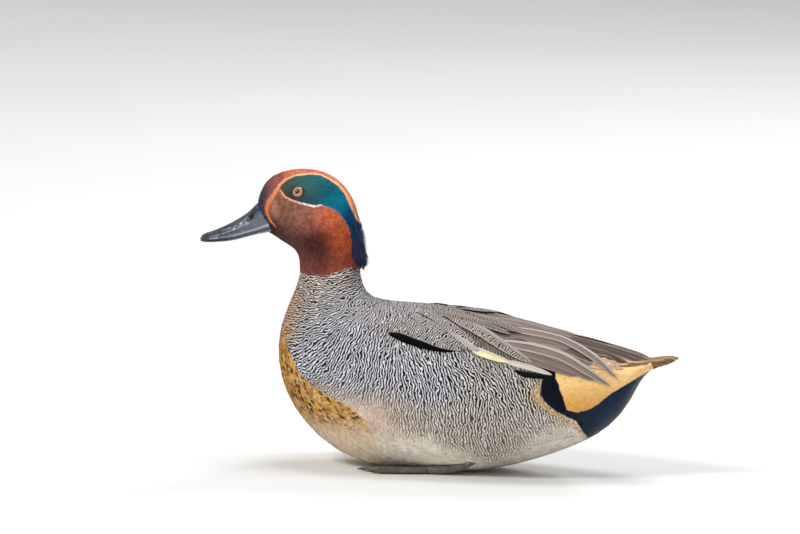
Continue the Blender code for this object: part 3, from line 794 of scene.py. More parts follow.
def make_quills(envelope, material):
    around = 2 * QUILL_TOP - 2
    turned = (-np.arange(around)) % around
    share = np.linspace(0, 1, QUILL_ROWS)
    rings = []
    found = {key: [] for key in ("lie", "heading", "web", *LOOKS)}
    for k, (_, style, upper, lower, level, *path) in enumerate(QUILLS):
        ring, place, ahead, side = quill(envelope, path, upper, lower, level)
        web = np.stack(np.broadcast_arrays(side, share[:, None], k * TINT_STEP % 1), -1)
        for flip in (1, -1):
            order = np.arange(around) if flip == 1 else turned
            mirror = np.array((flip, 1, 1))
            rings.append(ring[:, order] * mirror)
            found["lie"].append(place[:, order] * mirror)
            found["heading"].append(ahead[:, order] * mirror)
            found["web"].append(web[:, order])
            for key, (*colour, strength) in zip(LOOKS, STYLES[style], strict=True):
                look = (*linear(*colour), strength)
                found[key].append(np.broadcast_to(look, (QUILL_ROWS, around, 4)))
    attributes = {key: np.concatenate(held).reshape(-1, held[0].shape[-1]) for key, held in found.items()}
    sheet = unrolled(attributes["lie"])
    mesh = write_mesh("quills", np.array(rings), attributes, fitted_sheet(sheet))
    return coloured("quills", mesh, material)


# ---- eyes


def closed_loft(name, rings, loop=False):
    """A mesh through rings of points, shaped (ring, point, xyz), its ends filled or joined."""
    count, around, _ = rings.shape
    grid = np.arange(count * around).reshape(count, around)
    last = grid if loop else grid[:-1]
    after = np.roll(grid, -1, axis=0) if loop else grid[1:]
    quads = np.stack([last, np.roll(last, -1, 1), np.roll(after, -1, 1), after], -1)
    faces = quads.reshape(-1, 4).tolist()
    if not loop:
        faces += [grid[0, ::-1].tolist(), grid[-1].tolist()]
    return smooth_mesh(name, (rings.reshape(-1, 3) * MM).tolist(), faces)


def smooth_mesh(name, verts, faces):
    mesh = bpy.data.meshes.new(name)
    mesh.from_pydata(verts, [], faces)
    mesh.polygons.foreach_set("use_smooth", np.ones(len(faces), bool))
    return mesh


IRIS_RADIUS = 3.05
CORNEA_RISE = 0.35
EYE_RINGS, EYE_SIDES = 28, 40
LID_SIDES = 72
# The lids' cross section from their outer foot, over the rim and back inside, as (distance along
# the eye's axis, radius).
LID_SECTION = (
    (0.9, 6.4), (2.1, 5.6), (2.75, 4.9), (3.15, 4.4), (3.45, 4.0), (3.5, 3.8), (3.72, 3.62),
    (3.98, 3.44), (4.08, 3.3), (3.98, 3.2), (3.6, 3.3), (2.9, 3.9), (1.9, 4.8), (0.6, 5.8),
)  # fmt: skip


def turned(side, profile, swell):
    """Rings turned round an eye's axis from (distance along it, radius) pairs."""
    mirror = np.array((side, 1, 1))
    axis = unit(EYE_AXIS) * mirror
    across = unit(np.cross(UP, axis))
    angles = np.linspace(0, math.tau, len(swell), endpoint=False)
    spokes = np.cos(angles)[:, None] * across + np.sin(angles)[:, None] * np.cross(axis, across)
    spokes = spokes * swell[:, None]
    return np.array([EYE_CENTRE * mirror + axis * along + spokes * radius for along, radius in profile])


def make_eye(side, material):
    angles = np.linspace(math.pi * 0.97, 0.01, EYE_RINGS)
    along, radius = EYE_RADIUS * np.cos(angles), EYE_RADIUS * np.sin(angles)
    bulge = np.where(angles < math.pi / 2, CORNEA_RISE * np.exp(-((radius / 2.6) ** 2)), 0)
    along = along + bulge
    mesh = closed_loft("eye", turned(side, np.stack([along, radius], 1), np.ones(EYE_SIDES)))
    add_attribute(mesh, "from_axis", np.repeat(radius * np.sign(along), EYE_SIDES))
    return coloured("eyeball_left" if side > 0 else "eyeball_right", mesh, material)


def make_lids(side, material):
    """The bare rim of skin that hugs the eyeball, a little wider fore and aft."""
    angles = np.linspace(0, math.tau, LID_SIDES, endpoint=False)
    wrinkle = 1 + 0.012 * np.sin(11 * angles) + 0.008 * np.sin(23 * angles + 1)
    rings = turned(side, LID_SECTION, wrinkle * (1 + 0.05 * np.cos(angles) ** 2))
    mesh = closed_loft("lids", rings[::-1], loop=True)
    return coloured("lids_left" if side > 0 else "lids_right", mesh, material)


# ---- bill

# From the gape to the tip: culmen (y, z), underside (y, z), the mouth's share of the depth
# between them, and the half width.
BILL = (
    (-103.4, 148.8, -96.6, 130.9, 0.87, 9.6),
    (-107.3, 146.0, -100.7, 129.9, 0.88, 7.9),
    (-112.6, 140.6, -107.6, 128.1, 0.88, 7.0),
    (-121.5, 134.5, -120.2, 124.3, 0.84, 6.7),
    (-130.0, 130.2, -129.4, 122.9, 0.8, 7.1),
    (-140.0, 125.9, -139.0, 122.3, 0.74, 6.6),
)
BILL_ROWS, BILL_SIDES = 90, 48
BILL_TIP = 0.17
BILL_NAIL = 0.09
MOUTH_GAP = 0.25
NOSTRIL = (0.245, 45.0)  # share of the length, angle up from the lip
NAIL_START = 0.87
LOWER_WIDTH = 0.93
INNER_WIDTH, INNER_DEPTH = 0.8, 0.12


def bump_at(value, middle, reach):
    return np.exp(-(((value - middle) / reach) ** 2))


def in_nostril(share, from_lip):
    share = share - 0.0012 * (from_lip - NOSTRIL[1])
    return bump_at(share, NOSTRIL[0], 0.05) * bump_at(from_lip, NOSTRIL[1], 10)


def bill_detail(share, from_lip):
    """How far the upper mandible's surface stands out, by share of its length and angle up from the lip."""
    nostril_dent_and_shade = in_nostril(share, from_lip)
    trough = bump_at(share, NOSTRIL[0] + 0.07, 0.09) * bump_at(from_lip, NOSTRIL[1] - 4, 13)
    groove = bump_at(from_lip, 38, 8) * bump_at(share, 0.62, 0.22)
    plate = bump_at(share, 0.27, 0.012) * bump_at(from_lip, 16, 16)
    lip = bump_at(from_lip, 3, 5)
    inset = bump_at(from_lip, 13, 5)
    nail_line = 1 / (1 + np.exp(-(share - NAIL_START - 0.0009 * (90 - from_lip)) / 0.006))
    ripple = 0.05 * np.sin(share * 70 + from_lip * 0.09) * bump_at(from_lip, 30, 24)
    return (
        -1.1 * nostril_dent_and_shade - 0.3 * trough - 0.28 * groove - 0.16 * plate
        + 0.2 * lip - 0.16 * inset + 0.16 * nail_line + ripple
    )  # fmt: skip


def mandible_rows(upper, share):
    """The lip and the edge away from it as (y, z), and the half width, along a mandible."""
    rows = smooth_through(BILL, BILL_ROWS)
    into_tip = ((share - 1 + BILL_TIP) / BILL_TIP).clip(0, 1)
    half = rows[:, 5] * np.sqrt(1 - 0.97 * into_tip**2)
    culmen, under = rows[:, 0:2], rows[:, 2:4]
    lip = culmen + (under - culmen) * rows[:, 4:5]
    into_nail = ((share - 1 + BILL_NAIL) / BILL_NAIL).clip(0, 1)[:, None]
    closing = np.sqrt(1 - 0.98 * into_nail**2.4)
    culmen, under = (lip + (edge - lip) * closing for edge in (culmen, under))
    away = unit(under - culmen)
    lip = lip - away * MOUTH_GAP * (1 if upper else -1) * (1 - into_tip[:, None])
    return (lip, culmen, half) if upper else (lip, under, half * LOWER_WIDTH)


def make_mandible(upper, material):
    share = np.linspace(0, 1, BILL_ROWS)
    lip, far, half = mandible_rows(upper, share)
    angle = np.linspace(0, 180, BILL_SIDES)
    from_lip = np.minimum(angle, 180 - angle)
    radians = np.radians(angle)
    arch = np.sin(radians) ** 0.85
    rings = np.empty((BILL_ROWS, BILL_SIDES, 3))
    rings[:, :, 0] = half[:, None] * np.cos(radians)
    rings[:, :, 1:] = lip[:, None] + (far - lip)[:, None] * arch[None, :, None]
    if upper:
        middle = np.zeros((BILL_ROWS, 1, 3))
        middle[:, 0, 1:] = lip
        outward = unit(rings - middle)
        rings = rings + outward * bill_detail(share[:, None], from_lip[None])[..., None]
    inside = rings[:, 1:-1][:, ::-1] * np.array((INNER_WIDTH, 0, 0))
    inside[:, :, 1:] = lip[:, None] + (far - lip)[:, None] * INNER_DEPTH * arch[None, 1:-1, None]
    rings = np.concatenate([rings, inside], 1)
    from_lip = np.concatenate([from_lip, np.zeros(BILL_SIDES - 2)])
    # Painted shade: besides its dent, the nostril's hollow gets a near-black mask.
    nostril_dent_and_shade = in_nostril(share[:, None], from_lip[None]) * upper
    turn = slice(None, None, -1 if upper else 1)
    mesh = closed_loft("mandible", rings[:, turn])
    add_attribute(mesh, "reach", np.repeat(share, rings.shape[1]))
    add_attribute(mesh, "from_lip", np.tile(from_lip[turn], BILL_ROWS))
    add_attribute(mesh, "nostril_dent_and_shade", nostril_dent_and_shade[:, turn].ravel())
    return coloured("bill_top" if upper else "bill_under", mesh, material)


# ---- feet

# The left leg, tucked under: each path from its root to its tip, and the radius at the two ends.
SHANK = (((27.4, 31, 16.4), (27.2, 25, 9), (27.0, 17, 4.6), (27.4, 8, 2.9), (28.4, 0, 2.5)), 3.4, 2.2)
TOES = (
    (((28.0, 1, 2.4), (26.4, -8, 2.1), (24.8, -20, 1.7), (24.4, -29.5, 1.4)), 1.75, 0.95, 3),
    (((28.6, 0, 2.5), (30.2, -11, 2.2), (31.4, -25, 1.8), (32.0, -36, 1.4)), 1.85, 0.95, 4),
    (((29.2, 1, 2.4), (33.0, -8, 2.1), (37.0, -20, 1.7), (39.4, -29, 1.4)), 1.75, 0.9, 5),
)
HIND_TOE = (((26.8, 2.5, 3.0), (24.8, 4.4, 1.9), (23.4, 6.8, 1.2)), 1.2, 0.7, 2)
CLAW_LENGTH = 3.2
SCUTE, SCUTE_ROWS = 1.15, 4
TOE_SIDES = 18
WEB_THICK = 0.25
WEB_ACROSS, WEB_ROWS = 15, 40


def tube(path, start, end, joints=0):
    """Rings along a path, swollen at the joints and ridged by scutes across the top."""
    length = np.linalg.norm(np.diff(np.array(path, float), axis=0), axis=1).sum()
    rows = int(length / SCUTE * SCUTE_ROWS)
    centre = smooth_through(path, rows)
    share = np.linspace(0, 1, rows)
    radius = start + (end - start) * share
    radius = radius * (1 + 0.12 * np.cos(math.tau * joints * share) * (joints > 0))
    radius = radius * np.sqrt(1 - (2 * share - 1) ** 24 * 0.9)
    ahead = unit(np.gradient(centre, axis=0))
    side = unit(np.cross(ahead, UP))
    up = np.cross(side, ahead)
    angles = np.linspace(0, math.tau, TOE_SIDES, endpoint=False)
    ridge = 0.1 * np.abs(np.sin(math.pi * share * length / SCUTE))[:, None] * np.sin(angles).clip(0)
    reach = radius[:, None] + ridge
    return (
        centre[:, None]
        + side[:, None] * (np.cos(angles) * reach)[..., None]
        + up[:, None] * (np.sin(angles) * reach)[..., None]
    )


def webbing(first, second):
    """Rings of the thin web between two toes, its front edge hollow."""
    share = np.linspace(0, 1, WEB_ACROSS)
    sag = 1 - 0.8 * share * (1 - share)
    along = np.linspace(0.04, 0.93, WEB_ROWS)[:, None] * sag
    at = (along * (WEB_ROWS - 1)).reshape(-1)
    pick = np.minimum(at.astype(int), WEB_ROWS - 2)
    part = (at - pick)[:, None]
    paths = [smooth_through(toe[0], WEB_ROWS) for toe in (first, second)]
    left, right = (path[pick] * (1 - part) + path[pick + 1] * part for path in paths)
    mixed = np.tile(share, WEB_ROWS)[:, None]
    sheet = (left * (1 - mixed) + right * mixed).reshape(WEB_ROWS, WEB_ACROSS, 3)
    sheet[..., 2] = sheet[..., 2] * 0.75 + 0.12 * np.sin(share * 19)
    lift = np.array((0, 0, WEB_THICK))
    return np.concatenate([sheet + lift, (sheet - lift)[:, ::-1]], 1)


def lofted(name, parts, side, material):
    """One mesh of several lofts, each a pair of rings and how much of a web it is."""
    verts, faces, kinds = [], [], []
    for rings, kind in parts:
        piece = closed_loft(name, rings * np.array((side, 1, 1)))
        verts += [v.co[:] for v in piece.vertices]
        start = len(kinds)
        order = slice(None, None, side)
        faces += [[i + start for i in p.vertices][order] for p in piece.polygons]
        kinds += [kind] * len(piece.vertices)
        bpy.data.meshes.remove(piece)
    mesh = smooth_mesh(name, verts, faces)
    add_attribute(mesh, "webbed", kinds)
    return coloured(name, mesh, material)


def claw(toe):
    """Rings of a curved claw on the end of a toe."""
    (*_, before, tip), _, radius, _ = toe
    tip = np.array(tip, float)
    ahead = unit(tip - before)
    middle, end = tip + ahead * CLAW_LENGTH * 0.4 + UP * 0.15, tip + ahead * CLAW_LENGTH - UP * 0.35
    return tube([tip - ahead * 0.8, middle, end], radius * 0.92, 0.12)


def make_feet(side, scaly, horn):
    parts = [(tube(*SHANK), 0.0)]
    parts += [(tube(*toe), 0.0) for toe in (*TOES, HIND_TOE)]
    parts += [(webbing(first, second), 1.0) for first, second in zip(TOES, TOES[1:], strict=False)]
    hand = "left" if side > 0 else "right"
    foot = lofted(f"webbed_foot_{hand}", parts, side, scaly)
    claws = lofted(f"claws_{hand}", [(claw(toe), 0.0) for toe in (*TOES, HIND_TOE)], side, horn)
    return foot, claws


# ---- materials


class Value:
    """A node's output, which sums and products take like a number."""

    def __init__(self, shader, socket):
        self.shader, self.socket = shader, socket

    def __add__(self, other):
        return self.shader.math("ADD", self, other)

    def __sub__(self, other):
        return self.shader.math("SUBTRACT", self, other)

    def __rsub__(self, other):
        return self.shader.math("SUBTRACT", other, self)

    def __mul__(self, other):
        return self.shader.math("MULTIPLY", self, other)

    def __abs__(self):
        return self.shader.math("ABSOLUTE", self)


class Shader:
    """Small helpers that add nodes to one material."""

    def __init__(self, name, roughness, specular=0.5):
        self.material = bpy.data.materials.new(name)
        self.material.use_nodes = True
        self.tree = self.material.node_tree
        self.surface = self.tree.nodes["Principled BSDF"].inputs
        self.surface["Roughness"].default_value = roughness
        self.surface["Specular IOR Level"].default_value = specular

    def put(self, socket, value):
        if isinstance(value, Value):
            self.tree.links.new(value.socket, socket)
        elif socket.type == "RGBA" and len(value) == 3:
            socket.default_value = (*value, 1.0)
        else:
            socket.default_value = value

    def node(self, kind, inputs=(), output=0, **settings):
        """One output of a new node."""
        made = self.tree.nodes.new("ShaderNode" + kind)
        for key, value in settings.items():
            setattr(made, key, value)
        for key, value in dict(inputs).items():
            self.put(made.inputs[key], value)
        return Value(self, made.outputs[output])

    def colour(self, name):
        return self.node("Attribute", (), "Color", attribute_name=name)

    def alpha(self, name):
        return self.node("Attribute", (), "Alpha", attribute_name=name)

    def number(self, name):
        return self.node("Attribute", (), "Fac", attribute_name=name)

    def vector(self, name):
        return self.node("Attribute", (), "Vector", attribute_name=name)

    def parts(self, name):
        return (self.node("SeparateXYZ", {0: self.vector(name)}, axis) for axis in "XYZ")

    def place(self):
        return self.node("TexCoord", (), "Object")

    def math(self, operation, *values):
        return self.node("Math", enumerate(values), operation=operation)

    def squared(self, value):
        return self.math("POWER", value, 2)

    def ramp(self, value, low, high, start=0.0, end=1.0):
        inputs = {"Value": value, "From Min": low, "From Max": high, "To Min": start, "To Max": end}
        return self.node("MapRange", inputs, interpolation_type="SMOOTHSTEP")

    def noise(self, vector, scale, detail=3.0, roughness=0.5, output="Fac"):
        inputs = {"Vector": vector, "Scale": scale, "Detail": detail, "Roughness": roughness}
        return self.node("TexNoise", inputs, output)

    def strayed(self, vector, place, scale, detail, reach):
        """The vector led astray by a noise that swings both ways."""
        stray = self.noise(place, scale, detail, output="Color")
        stray = self.node("VectorMath", {0: stray, 1: (0.5, 0.5, 0.5)}, operation="SUBTRACT")
        stray = self.node("VectorMath", {0: stray, "Scale": reach}, operation="SCALE")
        return self.node("VectorMath", {0: vector, 1: stray}, operation="ADD")

    def mix(self, share, first, second):
        made = self.tree.nodes.new("ShaderNodeMix")
        made.data_type = "RGBA"
        sockets = [s for s in made.inputs if s.enabled]
        for socket, value in zip(sockets, (share, first, second), strict=True):
            self.put(socket, value)
        return Value(self, next(s for s in made.outputs if s.enabled))

    def shaded(self, colour, value):
        """The colour made lighter or darker by a factor."""
        return self.node("HueSaturation", {"Color": colour, "Value": value})

    def mottled(self, colour, noise, low, high):
        """The colour made lighter and darker by a noise, within these factors."""
        return self.shaded(colour, self.ramp(noise, 0.3, 0.7, low, high))

    def finished(self, colour, roughness=None, bumps=None, strength=0.0, depth=0.0):
        """The material, with bumps whose depth is in millimetres."""
        self.put(self.surface["Base Color"], colour)
        if roughness:
            self.put(self.surface["Roughness"], roughness)
        if bumps:
            inputs = {"Height": bumps, "Strength": strength, "Distance": depth * MM}
            self.put(self.surface["Normal"], self.node("Bump", inputs))
        return self.material


BAR_PERIOD, NECK_BAR_PERIOD, FINE_BAR_PERIOD = 1.6, 1.4, 1.25
BAR_CELL = 0.14
BAR_CLEAR = 0.06
BAR_SWIRL = 0.8
MIDDLING = 0.45  # between dark and pale, where no bar is clear


def bars(s, period):
    """Wavy cross bars on the lie of the plumage, 0 in the dark ones and 1 in the pale ones."""
    lie = s.vector("lie")
    reach = s.ramp(s.node("SeparateXYZ", {0: lie}, "Z"), 84, 104, 2.8, 3.6)
    waves = s.tree.nodes.new("ShaderNodeTexGabor")
    waves.gabor_type = "3D"
    sockets = {socket.identifier: socket for socket in waves.inputs}
    s.put(sockets["Vector"], s.strayed(lie, lie, 0.36, 1, reach))
    s.put(sockets["Scale"], BAR_CELL)
    s.put(sockets["Frequency"], s.math("DIVIDE", 1 / BAR_CELL, period))
    s.put(sockets["Anisotropy"], 1.0)
    s.put(sockets["Orientation 3D"], s.strayed(s.vector("heading"), lie, 0.13, 0, BAR_SWIRL))
    phase, intensity = (Value(s, waves.outputs[name]) for name in ("Phase", "Intensity"))
    pale = s.ramp(abs(phase - 0.5), 0.22, 0.33) - MIDDLING
    return pale * s.ramp(intensity, 0, BAR_CLEAR) + MIDDLING


def head_material():
    s = Shader("head_feathers", 0.62, 0.12)
    lie = s.vector("lie")
    _, _, tint = s.parts("web")
    cloud, fine = s.noise(lie, 0.35, 4, 0.6), s.noise(lie, 2.2, 3, 0.6)
    ragged = (s.noise(lie, 1.6, 2) - 0.5) * 1.1
    cheek = s.mottled(s.colour("cheek"), cloud, 0.72, 1.28)
    cheek = s.mottled(cheek, fine, 0.8, 1.2)
    patch = s.mottled(s.colour("patch"), fine, 0.82, 1.18)
    in_patch = s.ramp(s.number("in_patch") + ragged, -0.25, 0.25)
    fray = (s.noise(lie, 0.9, 4, 0.7) - 0.5) * 1.7
    in_line = s.ramp(s.number("in_line") + fray, -0.3, 0.35)
    colour = s.mix(in_line, s.mix(in_patch, cheek, patch), s.colour("cream"))
    colour = s.shaded(colour, s.ramp(tint, 0, 1, 0.86, 1.14))
    return s.finished(colour, s.ramp(in_patch, 0, 1, 0.66, 0.42), fine, 0.25, 0.3)


def breast(s, line, cloud, fine, ragged):
    """Ochre feathers below, pinkish above, about half of them with a dark spot near the tip."""
    across, along, tint = s.parts("web")
    _, rearward, height = s.parts("lie")
    buff = s.mix(s.ramp(cloud, 0.4, 0.6), linear(152, 100, 32), linear(200, 148, 64))
    pallor = s.noise(s.vector("lie"), 0.45, 3, 0.6) + s.ramp(rearward, -88, -56, 0, 0.05)
    buff = s.mix(s.ramp(pallor, 0.52, 0.66) * 0.7, buff, linear(214, 192, 160))
    upper = s.mix(1 - line, linear(212, 186, 170), linear(128, 84, 64))
    high = s.ramp(height + ragged * 4, 66, 84)
    buff = s.mix(high, s.mottled(buff, fine, 0.72, 1.2), upper)
    oval = s.squared(across * 1.35) + s.squared((along - 0.74) * 3.4) + (fine - 0.5) * 1.6
    spot = s.ramp(oval - s.ramp(tint, 0.58, 0.82, -0.6, 0.85), 0.12, -0.16)
    buff = s.mix(spot * s.ramp(high, 0, 1, 0.92, 0.55), buff, linear(44, 24, 12))
    keel = s.ramp(height + ragged * 3, 34, 14)
    return s.mix(keel * 0.85, buff, linear(228, 212, 186))


def body_material():
    s = Shader("body_feathers", 0.7, 0.1)
    lie, pale, strength = s.vector("lie"), s.colour("pale"), s.alpha("pale")
    _, rearward, height = s.parts("lie")
    line = bars(s, s.ramp(height, 84, 98, BAR_PERIOD, NECK_BAR_PERIOD))
    cloud, fine = s.noise(lie, 0.16, 3, 0.6), s.noise(lie, 1.3, 3, 0.6)
    ragged = (s.noise(lie, 0.9, 3) - 0.5) * 2.6
    dark = s.mix(strength, s.shaded(pale, 0.42), linear(10, 11, 17))
    lit = s.mottled(pale, cloud, 0.88, 1.1)
    colour = s.mix((1 - line) * s.ramp(strength, 0, 0.4), lit, dark)
    frayed = (s.noise(lie, 0.34, 4, 0.65) - 0.5) * 9
    in_breast = s.ramp(s.number("in_breast") + frayed, -0.9, 0.9)
    colour = s.mix(in_breast, colour, breast(s, line, cloud, fine, ragged))
    arc = s.mix(s.ramp(fine, 0.42, 0.6), linear(226, 192, 144), linear(150, 112, 76))
    colour = s.mix(s.ramp(s.number("in_arc") + ragged * 1.8, -0.4, 1.2), colour, arc)
    gloss = s.mix(s.ramp(rearward, 78, 100), linear(4, 8, 25), linear(24, 37, 66))
    teal = s.ramp(cloud, 0.4, 0.62) * s.ramp(rearward, 72, 86, 0.15, 1)
    gloss = s.mix(teal, gloss, linear(8, 41, 54))
    in_vent = s.ramp(s.number("in_vent") + ragged * 0.25, -0.35, 0.35)
    cream = s.mix(s.ramp(height, 40, 62), linear(228, 166, 84), linear(244, 204, 138))
    cream = s.mottled(cream, fine, 0.97, 1.04)
    in_cream = s.ramp(s.number("in_cream") + ragged * 0.25, -0.35, 0.35)
    colour = s.mix(in_cream, s.mix(in_vent, colour, gloss), cream)
    _, _, tint = s.parts("web")
    colour = s.shaded(colour, s.ramp(tint, 0, 1, 0.96, 1.04))
    return s.finished(colour, s.ramp(in_vent * (1 - in_cream), 0, 1, 0.74, 0.4), fine, 0.2, 0.3)


def quill_material():
    s = Shader("wing_feathers", 0.6, 0.05)
    across, along, tint = s.parts("web")
    lower_share = s.ramp(across, -0.04, 0.06)
    streak = s.node("CombineXYZ", {0: along * 5, 1: across * 5, 2: tint * 40})
    web = s.mix(lower_share, s.colour("upper"), s.colour("lower"))
    web = s.mottled(web, s.noise(streak, 1, 4, 0.6), 0.84, 1.14)
    barred = s.mix(lower_share, s.alpha("upper"), s.alpha("lower"))
    dark = s.mix(barred, s.shaded(web, 0.5), linear(26, 22, 22))
    colour = s.mix((1 - bars(s, FINE_BAR_PERIOD)) * s.ramp(barred, 0, 0.5), web, dark)
    colour = s.mix(s.ramp(abs(across), 0.72, 0.98) * 0.7, colour, s.colour("rim"))
    # Painted shade: a darker line along the shaft, as strong as the rim's alpha says.
    shaft_shade = s.ramp(abs(across - 0.06), 0.17, 0.03) * s.alpha("rim")
    colour = s.mix(shaft_shade, colour, s.shaded(web, 0.4))
    return s.finished(colour, None, s.noise(streak, 3, 2), 0.25, 0.2)


def eye_material():
    s = Shader("eye", 0.08, 0.3)
    s.surface["Coat Weight"].default_value = 0.5
    s.surface["Coat Roughness"].default_value = 0.03
    radius = s.number("from_axis")
    grain = s.noise(s.place(), 900)
    iris = s.mix(s.ramp(grain, 0.3, 0.7), linear(158, 108, 82), linear(200, 152, 122))
    iris = s.mix(s.ramp(radius, 1.6, 1.15), iris, linear(120, 66, 40))
    colour = s.mix(s.ramp(radius, 1.2, 1.08), iris, linear(6, 5, 6))
    edge = s.ramp(radius, IRIS_RADIUS - 0.35, IRIS_RADIUS - 0.05)
    return s.finished(s.mix(edge, colour, linear(36, 24, 20)))


def lid_material():
    s = Shader("lid_skin", 0.5)
    grain = s.noise(s.place(), 1600)
    colour = s.mix(s.ramp(grain, 0.3, 0.7), linear(22, 24, 26), linear(60, 58, 54))
    return s.finished(colour, None, grain, 0.5, 0.15)


def bill_material():
    s = Shader("bill_horn", 0.32)
    stretched = s.node("Mapping", {"Vector": s.place(), "Scale": (700, 180, 500)})
    scratch = s.noise(stretched, 1, 4, 0.65)
    reach, from_lip = s.number("reach"), s.number("from_lip")
    cloud = s.ramp(s.noise(s.place(), 160), 0.35, 0.65)
    colour = s.mix(cloud, linear(34, 37, 50), linear(60, 66, 82))
    side = s.ramp(from_lip, 48, 30) * s.ramp(reach, 0.7, 0.2)
    colour = s.mix(side * 0.6, colour, linear(104, 114, 128))
    colour = s.mix(s.ramp(scratch, 0.5, 0.72) * 0.5, colour, linear(112, 118, 134))
    edge = s.ramp(abs(from_lip - 5), 2.4, 1) * s.ramp(reach, 0.75, 0.35)
    colour = s.mix(edge, colour, linear(150, 158, 160))
    colour = s.mix(s.ramp(reach, 0.84, 0.9), colour, linear(40, 50, 64))
    # Painted shade: the nostril's hollow is coloured near black.
    colour = s.mix(s.ramp(s.number("nostril_dent_and_shade"), 0.18, 0.42), colour, linear(6, 6, 8))
    return s.finished(colour, s.ramp(scratch, 0.3, 0.7, 0.22, 0.46), scratch, 0.35, 0.25)


def foot_material():
    s = Shader("leg_skin", 0.5, 0.3)
    scales = s.node("TexVoronoi", {"Vector": s.place(), "Scale": 1100}, "Distance")
    cloud = s.ramp(s.noise(s.place(), 120), 0.35, 0.65)
    colour = s.mix(cloud, linear(86, 88, 80), linear(118, 118, 104))
    colour = s.mix(s.number("webbed"), colour, linear(52, 52, 50))
    colour = s.shaded(colour, s.ramp(scales, 0.15, 0.6, 1.15, 0.7))
    return s.finished(colour, None, scales, 0.5, -0.15)


def claw_material():
    s = Shader("claw_horn", 0.35)
    return s.finished(s.mix(s.noise(s.place(), 700), linear(22, 20, 19), linear(66, 60, 54)))


# ---- skin


def skin_depth(places):
    """How far the skin lies under the plumage's surface."""
    body = np.interp(places[:, 2], [85, 115, 130], [1.0, 0.35, 0.0])
    return SKIN_DEPTH_HEAD + (SKIN_DEPTH_BODY - SKIN_DEPTH_HEAD) * body


def make_skin(mesh, head, body):
    envelope = Envelope(mesh)
    points, normals = envelope.points, envelope.normals
    depth = skin_depth(points)
    for k, (point, normal) in enumerate(zip(points, normals, strict=True)):
        hit = envelope.tree.ray_cast(point - normal * 0.05, -normal, THIN)[3]
        if hit is not None:
            depth[k] = min(depth[k], hit * THIN_SHARE)
    skin_points = points - normals * depth[:, None]
    mesh.vertices.foreach_set("co", (skin_points * MM).astype(np.float32).ravel())
    mesh.polygons.foreach_set("use_smooth", np.ones(len(mesh.polygons), bool))
    attributes = {
        "lie": points,
        "heading": heading_at(points, normals),
        "web": np.tile((0.0, 0.1, 0.3), (len(points), 1)),
        **head_markings(points, normals),
        **body_markings(points, normals),
    }
    for key, values in attributes.items():
        add_attribute(mesh, key, values)
    mesh.materials.clear()
    skin = coloured("skin", mesh, head, body)
    middle = numbers(mesh.polygons, "center", 3) / MM
    on_body = beside(COLLAR, middle[:, 1], middle[:, 2]) < 0
    mesh.polygons.foreach_set("material_index", on_body.astype(np.int32))
    mesh.update()
    return skin


# ---- camera, light and floor, in metres

AIM = Vector((0.0, -0.0234, 0.114))
DISTANCE = 5.0
AZIMUTH, ELEVATION, ROLL = 99.0, 7.0, 2.0
VIEW_WIDTH = 0.456
SENSOR = 36.0
FLOOR_RADIUS, FLOOR_SIDES = 6, 64


def make_camera():
    turn, rise, roll = (math.radians(v) for v in (AZIMUTH, ELEVATION, ROLL))
    back = Vector((math.sin(turn) * math.cos(rise), -math.cos(turn) * math.cos(rise), math.sin(rise)))
    right = Vector((math.cos(turn), math.sin(turn), 0.0))
    up = back.cross(right)
    rolled_right = right * math.cos(roll) + up * math.sin(roll)
    rolled_up = up * math.cos(roll) - right * math.sin(roll)
    data = bpy.data.cameras.new("camera")
    data.sensor_width = SENSOR
    data.lens = SENSOR * DISTANCE / VIEW_WIDTH
    data.clip_end = 60.0
    camera = placed("camera", data)
    pose = Matrix((rolled_right, rolled_up, back)).transposed().to_4x4()
    pose.translation = AIM + back * DISTANCE
    camera.matrix_world = pose
    bpy.context.scene.camera = camera


def make_light(name, place, size, power, colour=(1, 1, 1)):
    data = bpy.data.lights.new(name, "AREA")
    data.size = size
    data.energy = power
    data.color = colour
    lamp = placed(name, data)
    lamp.location = place
    lamp.rotation_mode = "QUATERNION"
    lamp.rotation_quaternion = (Vector(place) - AIM).to_track_quat("Z", "Y")


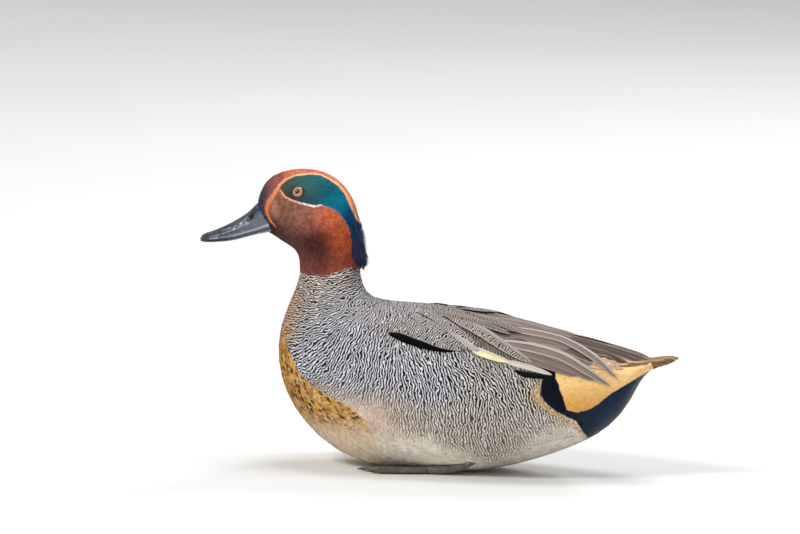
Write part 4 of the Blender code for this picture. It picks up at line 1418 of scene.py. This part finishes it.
def make_studio():
    world = bpy.data.worlds.new("studio")
    bpy.context.scene.world = world
    world.use_nodes = True
    sky = world.node_tree.nodes["Background"]
    sky.inputs["Color"].default_value = (0.84, 0.87, 0.92, 1)
    sky.inputs["Strength"].default_value = 0.55
    make_light("key", (2.2, -1.6, 2.4), 0.9, 75, (1.0, 0.97, 0.92))
    make_light("top", (-0.4, 0.3, 2.6), 1.2, 30)
    make_light("rim", (-2.0, 0.8, 1.6), 0.8, 25)
    s = Shader("floor", 0.8)
    look = s.finished(s.mix(s.noise(s.place(), 3), (0.74, 0.74, 0.73), (0.8, 0.8, 0.79)))
    mesh = bpy.data.meshes.new("floor")
    turns = [math.tau * k / FLOOR_SIDES for k in range(FLOOR_SIDES)]
    rim = [(FLOOR_RADIUS * math.cos(a), FLOOR_RADIUS * math.sin(a), 0) for a in turns]
    mesh.from_pydata(rim, [], [range(FLOOR_SIDES)])
    coloured("floor", mesh, look)
    bpy.context.scene.view_settings.view_transform = "Standard"


# ---- the bird


def main():
    make_camera()
    make_studio()
    head, body = head_material(), body_material()
    flesh = joined_mesh(FLESH)
    skin = make_skin(flesh, head, body)
    envelope = Envelope(joined_mesh(FLESH + EYES))
    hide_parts(*FLESH)
    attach(skin, "root")
    coats = [
        ("coat_head_left", on_side(True, chestnut_roots), HEAD_SPACING, HEAD_TUFT, head_markings, head),
        ("coat_head_right", on_side(False, chestnut_roots), HEAD_SPACING, HEAD_TUFT, head_markings, head),
        ("coat_crest", crest_roots, CREST_SPACING, CREST_TUFT, head_markings, head),
        ("coat_neck", neck_roots, NECK_SPACING, NECK_TUFT, body_markings, body),
        ("coat_left", on_side(True, body_roots), BODY_SPACING, BODY_VANE, body_markings, body),
        ("coat_right", on_side(False, body_roots), BODY_SPACING, BODY_VANE, body_markings, body),
    ]
    for seed, (name, keep, spacing, shape, markings, material) in enumerate(coats):
        roots, normals = envelope.scattered(keep, spacing, seed)
        mesh = coat(name, envelope, roots, normals, shape, markings, seed)
        made = coloured(name, mesh, material)
        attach(made, "root")
    quills = make_quills(Envelope(joined_mesh(FLESH, between_wings())), quill_material())
    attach(quills, "root")
    eye_look, lid_look, horn = eye_material(), lid_material(), bill_material()
    for side, name in ((1, "eye_left"), (-1, "eye_right")):
        ball = make_eye(side, eye_look)
        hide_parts(name)
        lids = make_lids(side, lid_look)
        for piece in (ball, lids):
            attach(piece, "root")
    scaly, claws_look = foot_material(), claw_material()
    for side, hand in ((1, "left"), (-1, "right")):
        foot, claws = make_feet(side, scaly, claws_look)
        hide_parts(f"foot_{hand}", f"leg_{hand}")
        for piece in (foot, claws):
            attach(piece, "root")
    for upper, node in ((True, "bill_upper"), (False, "bill_lower")):
        mandible = make_mandible(upper, horn)
        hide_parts(node)
        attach(mandible, "root")


main()
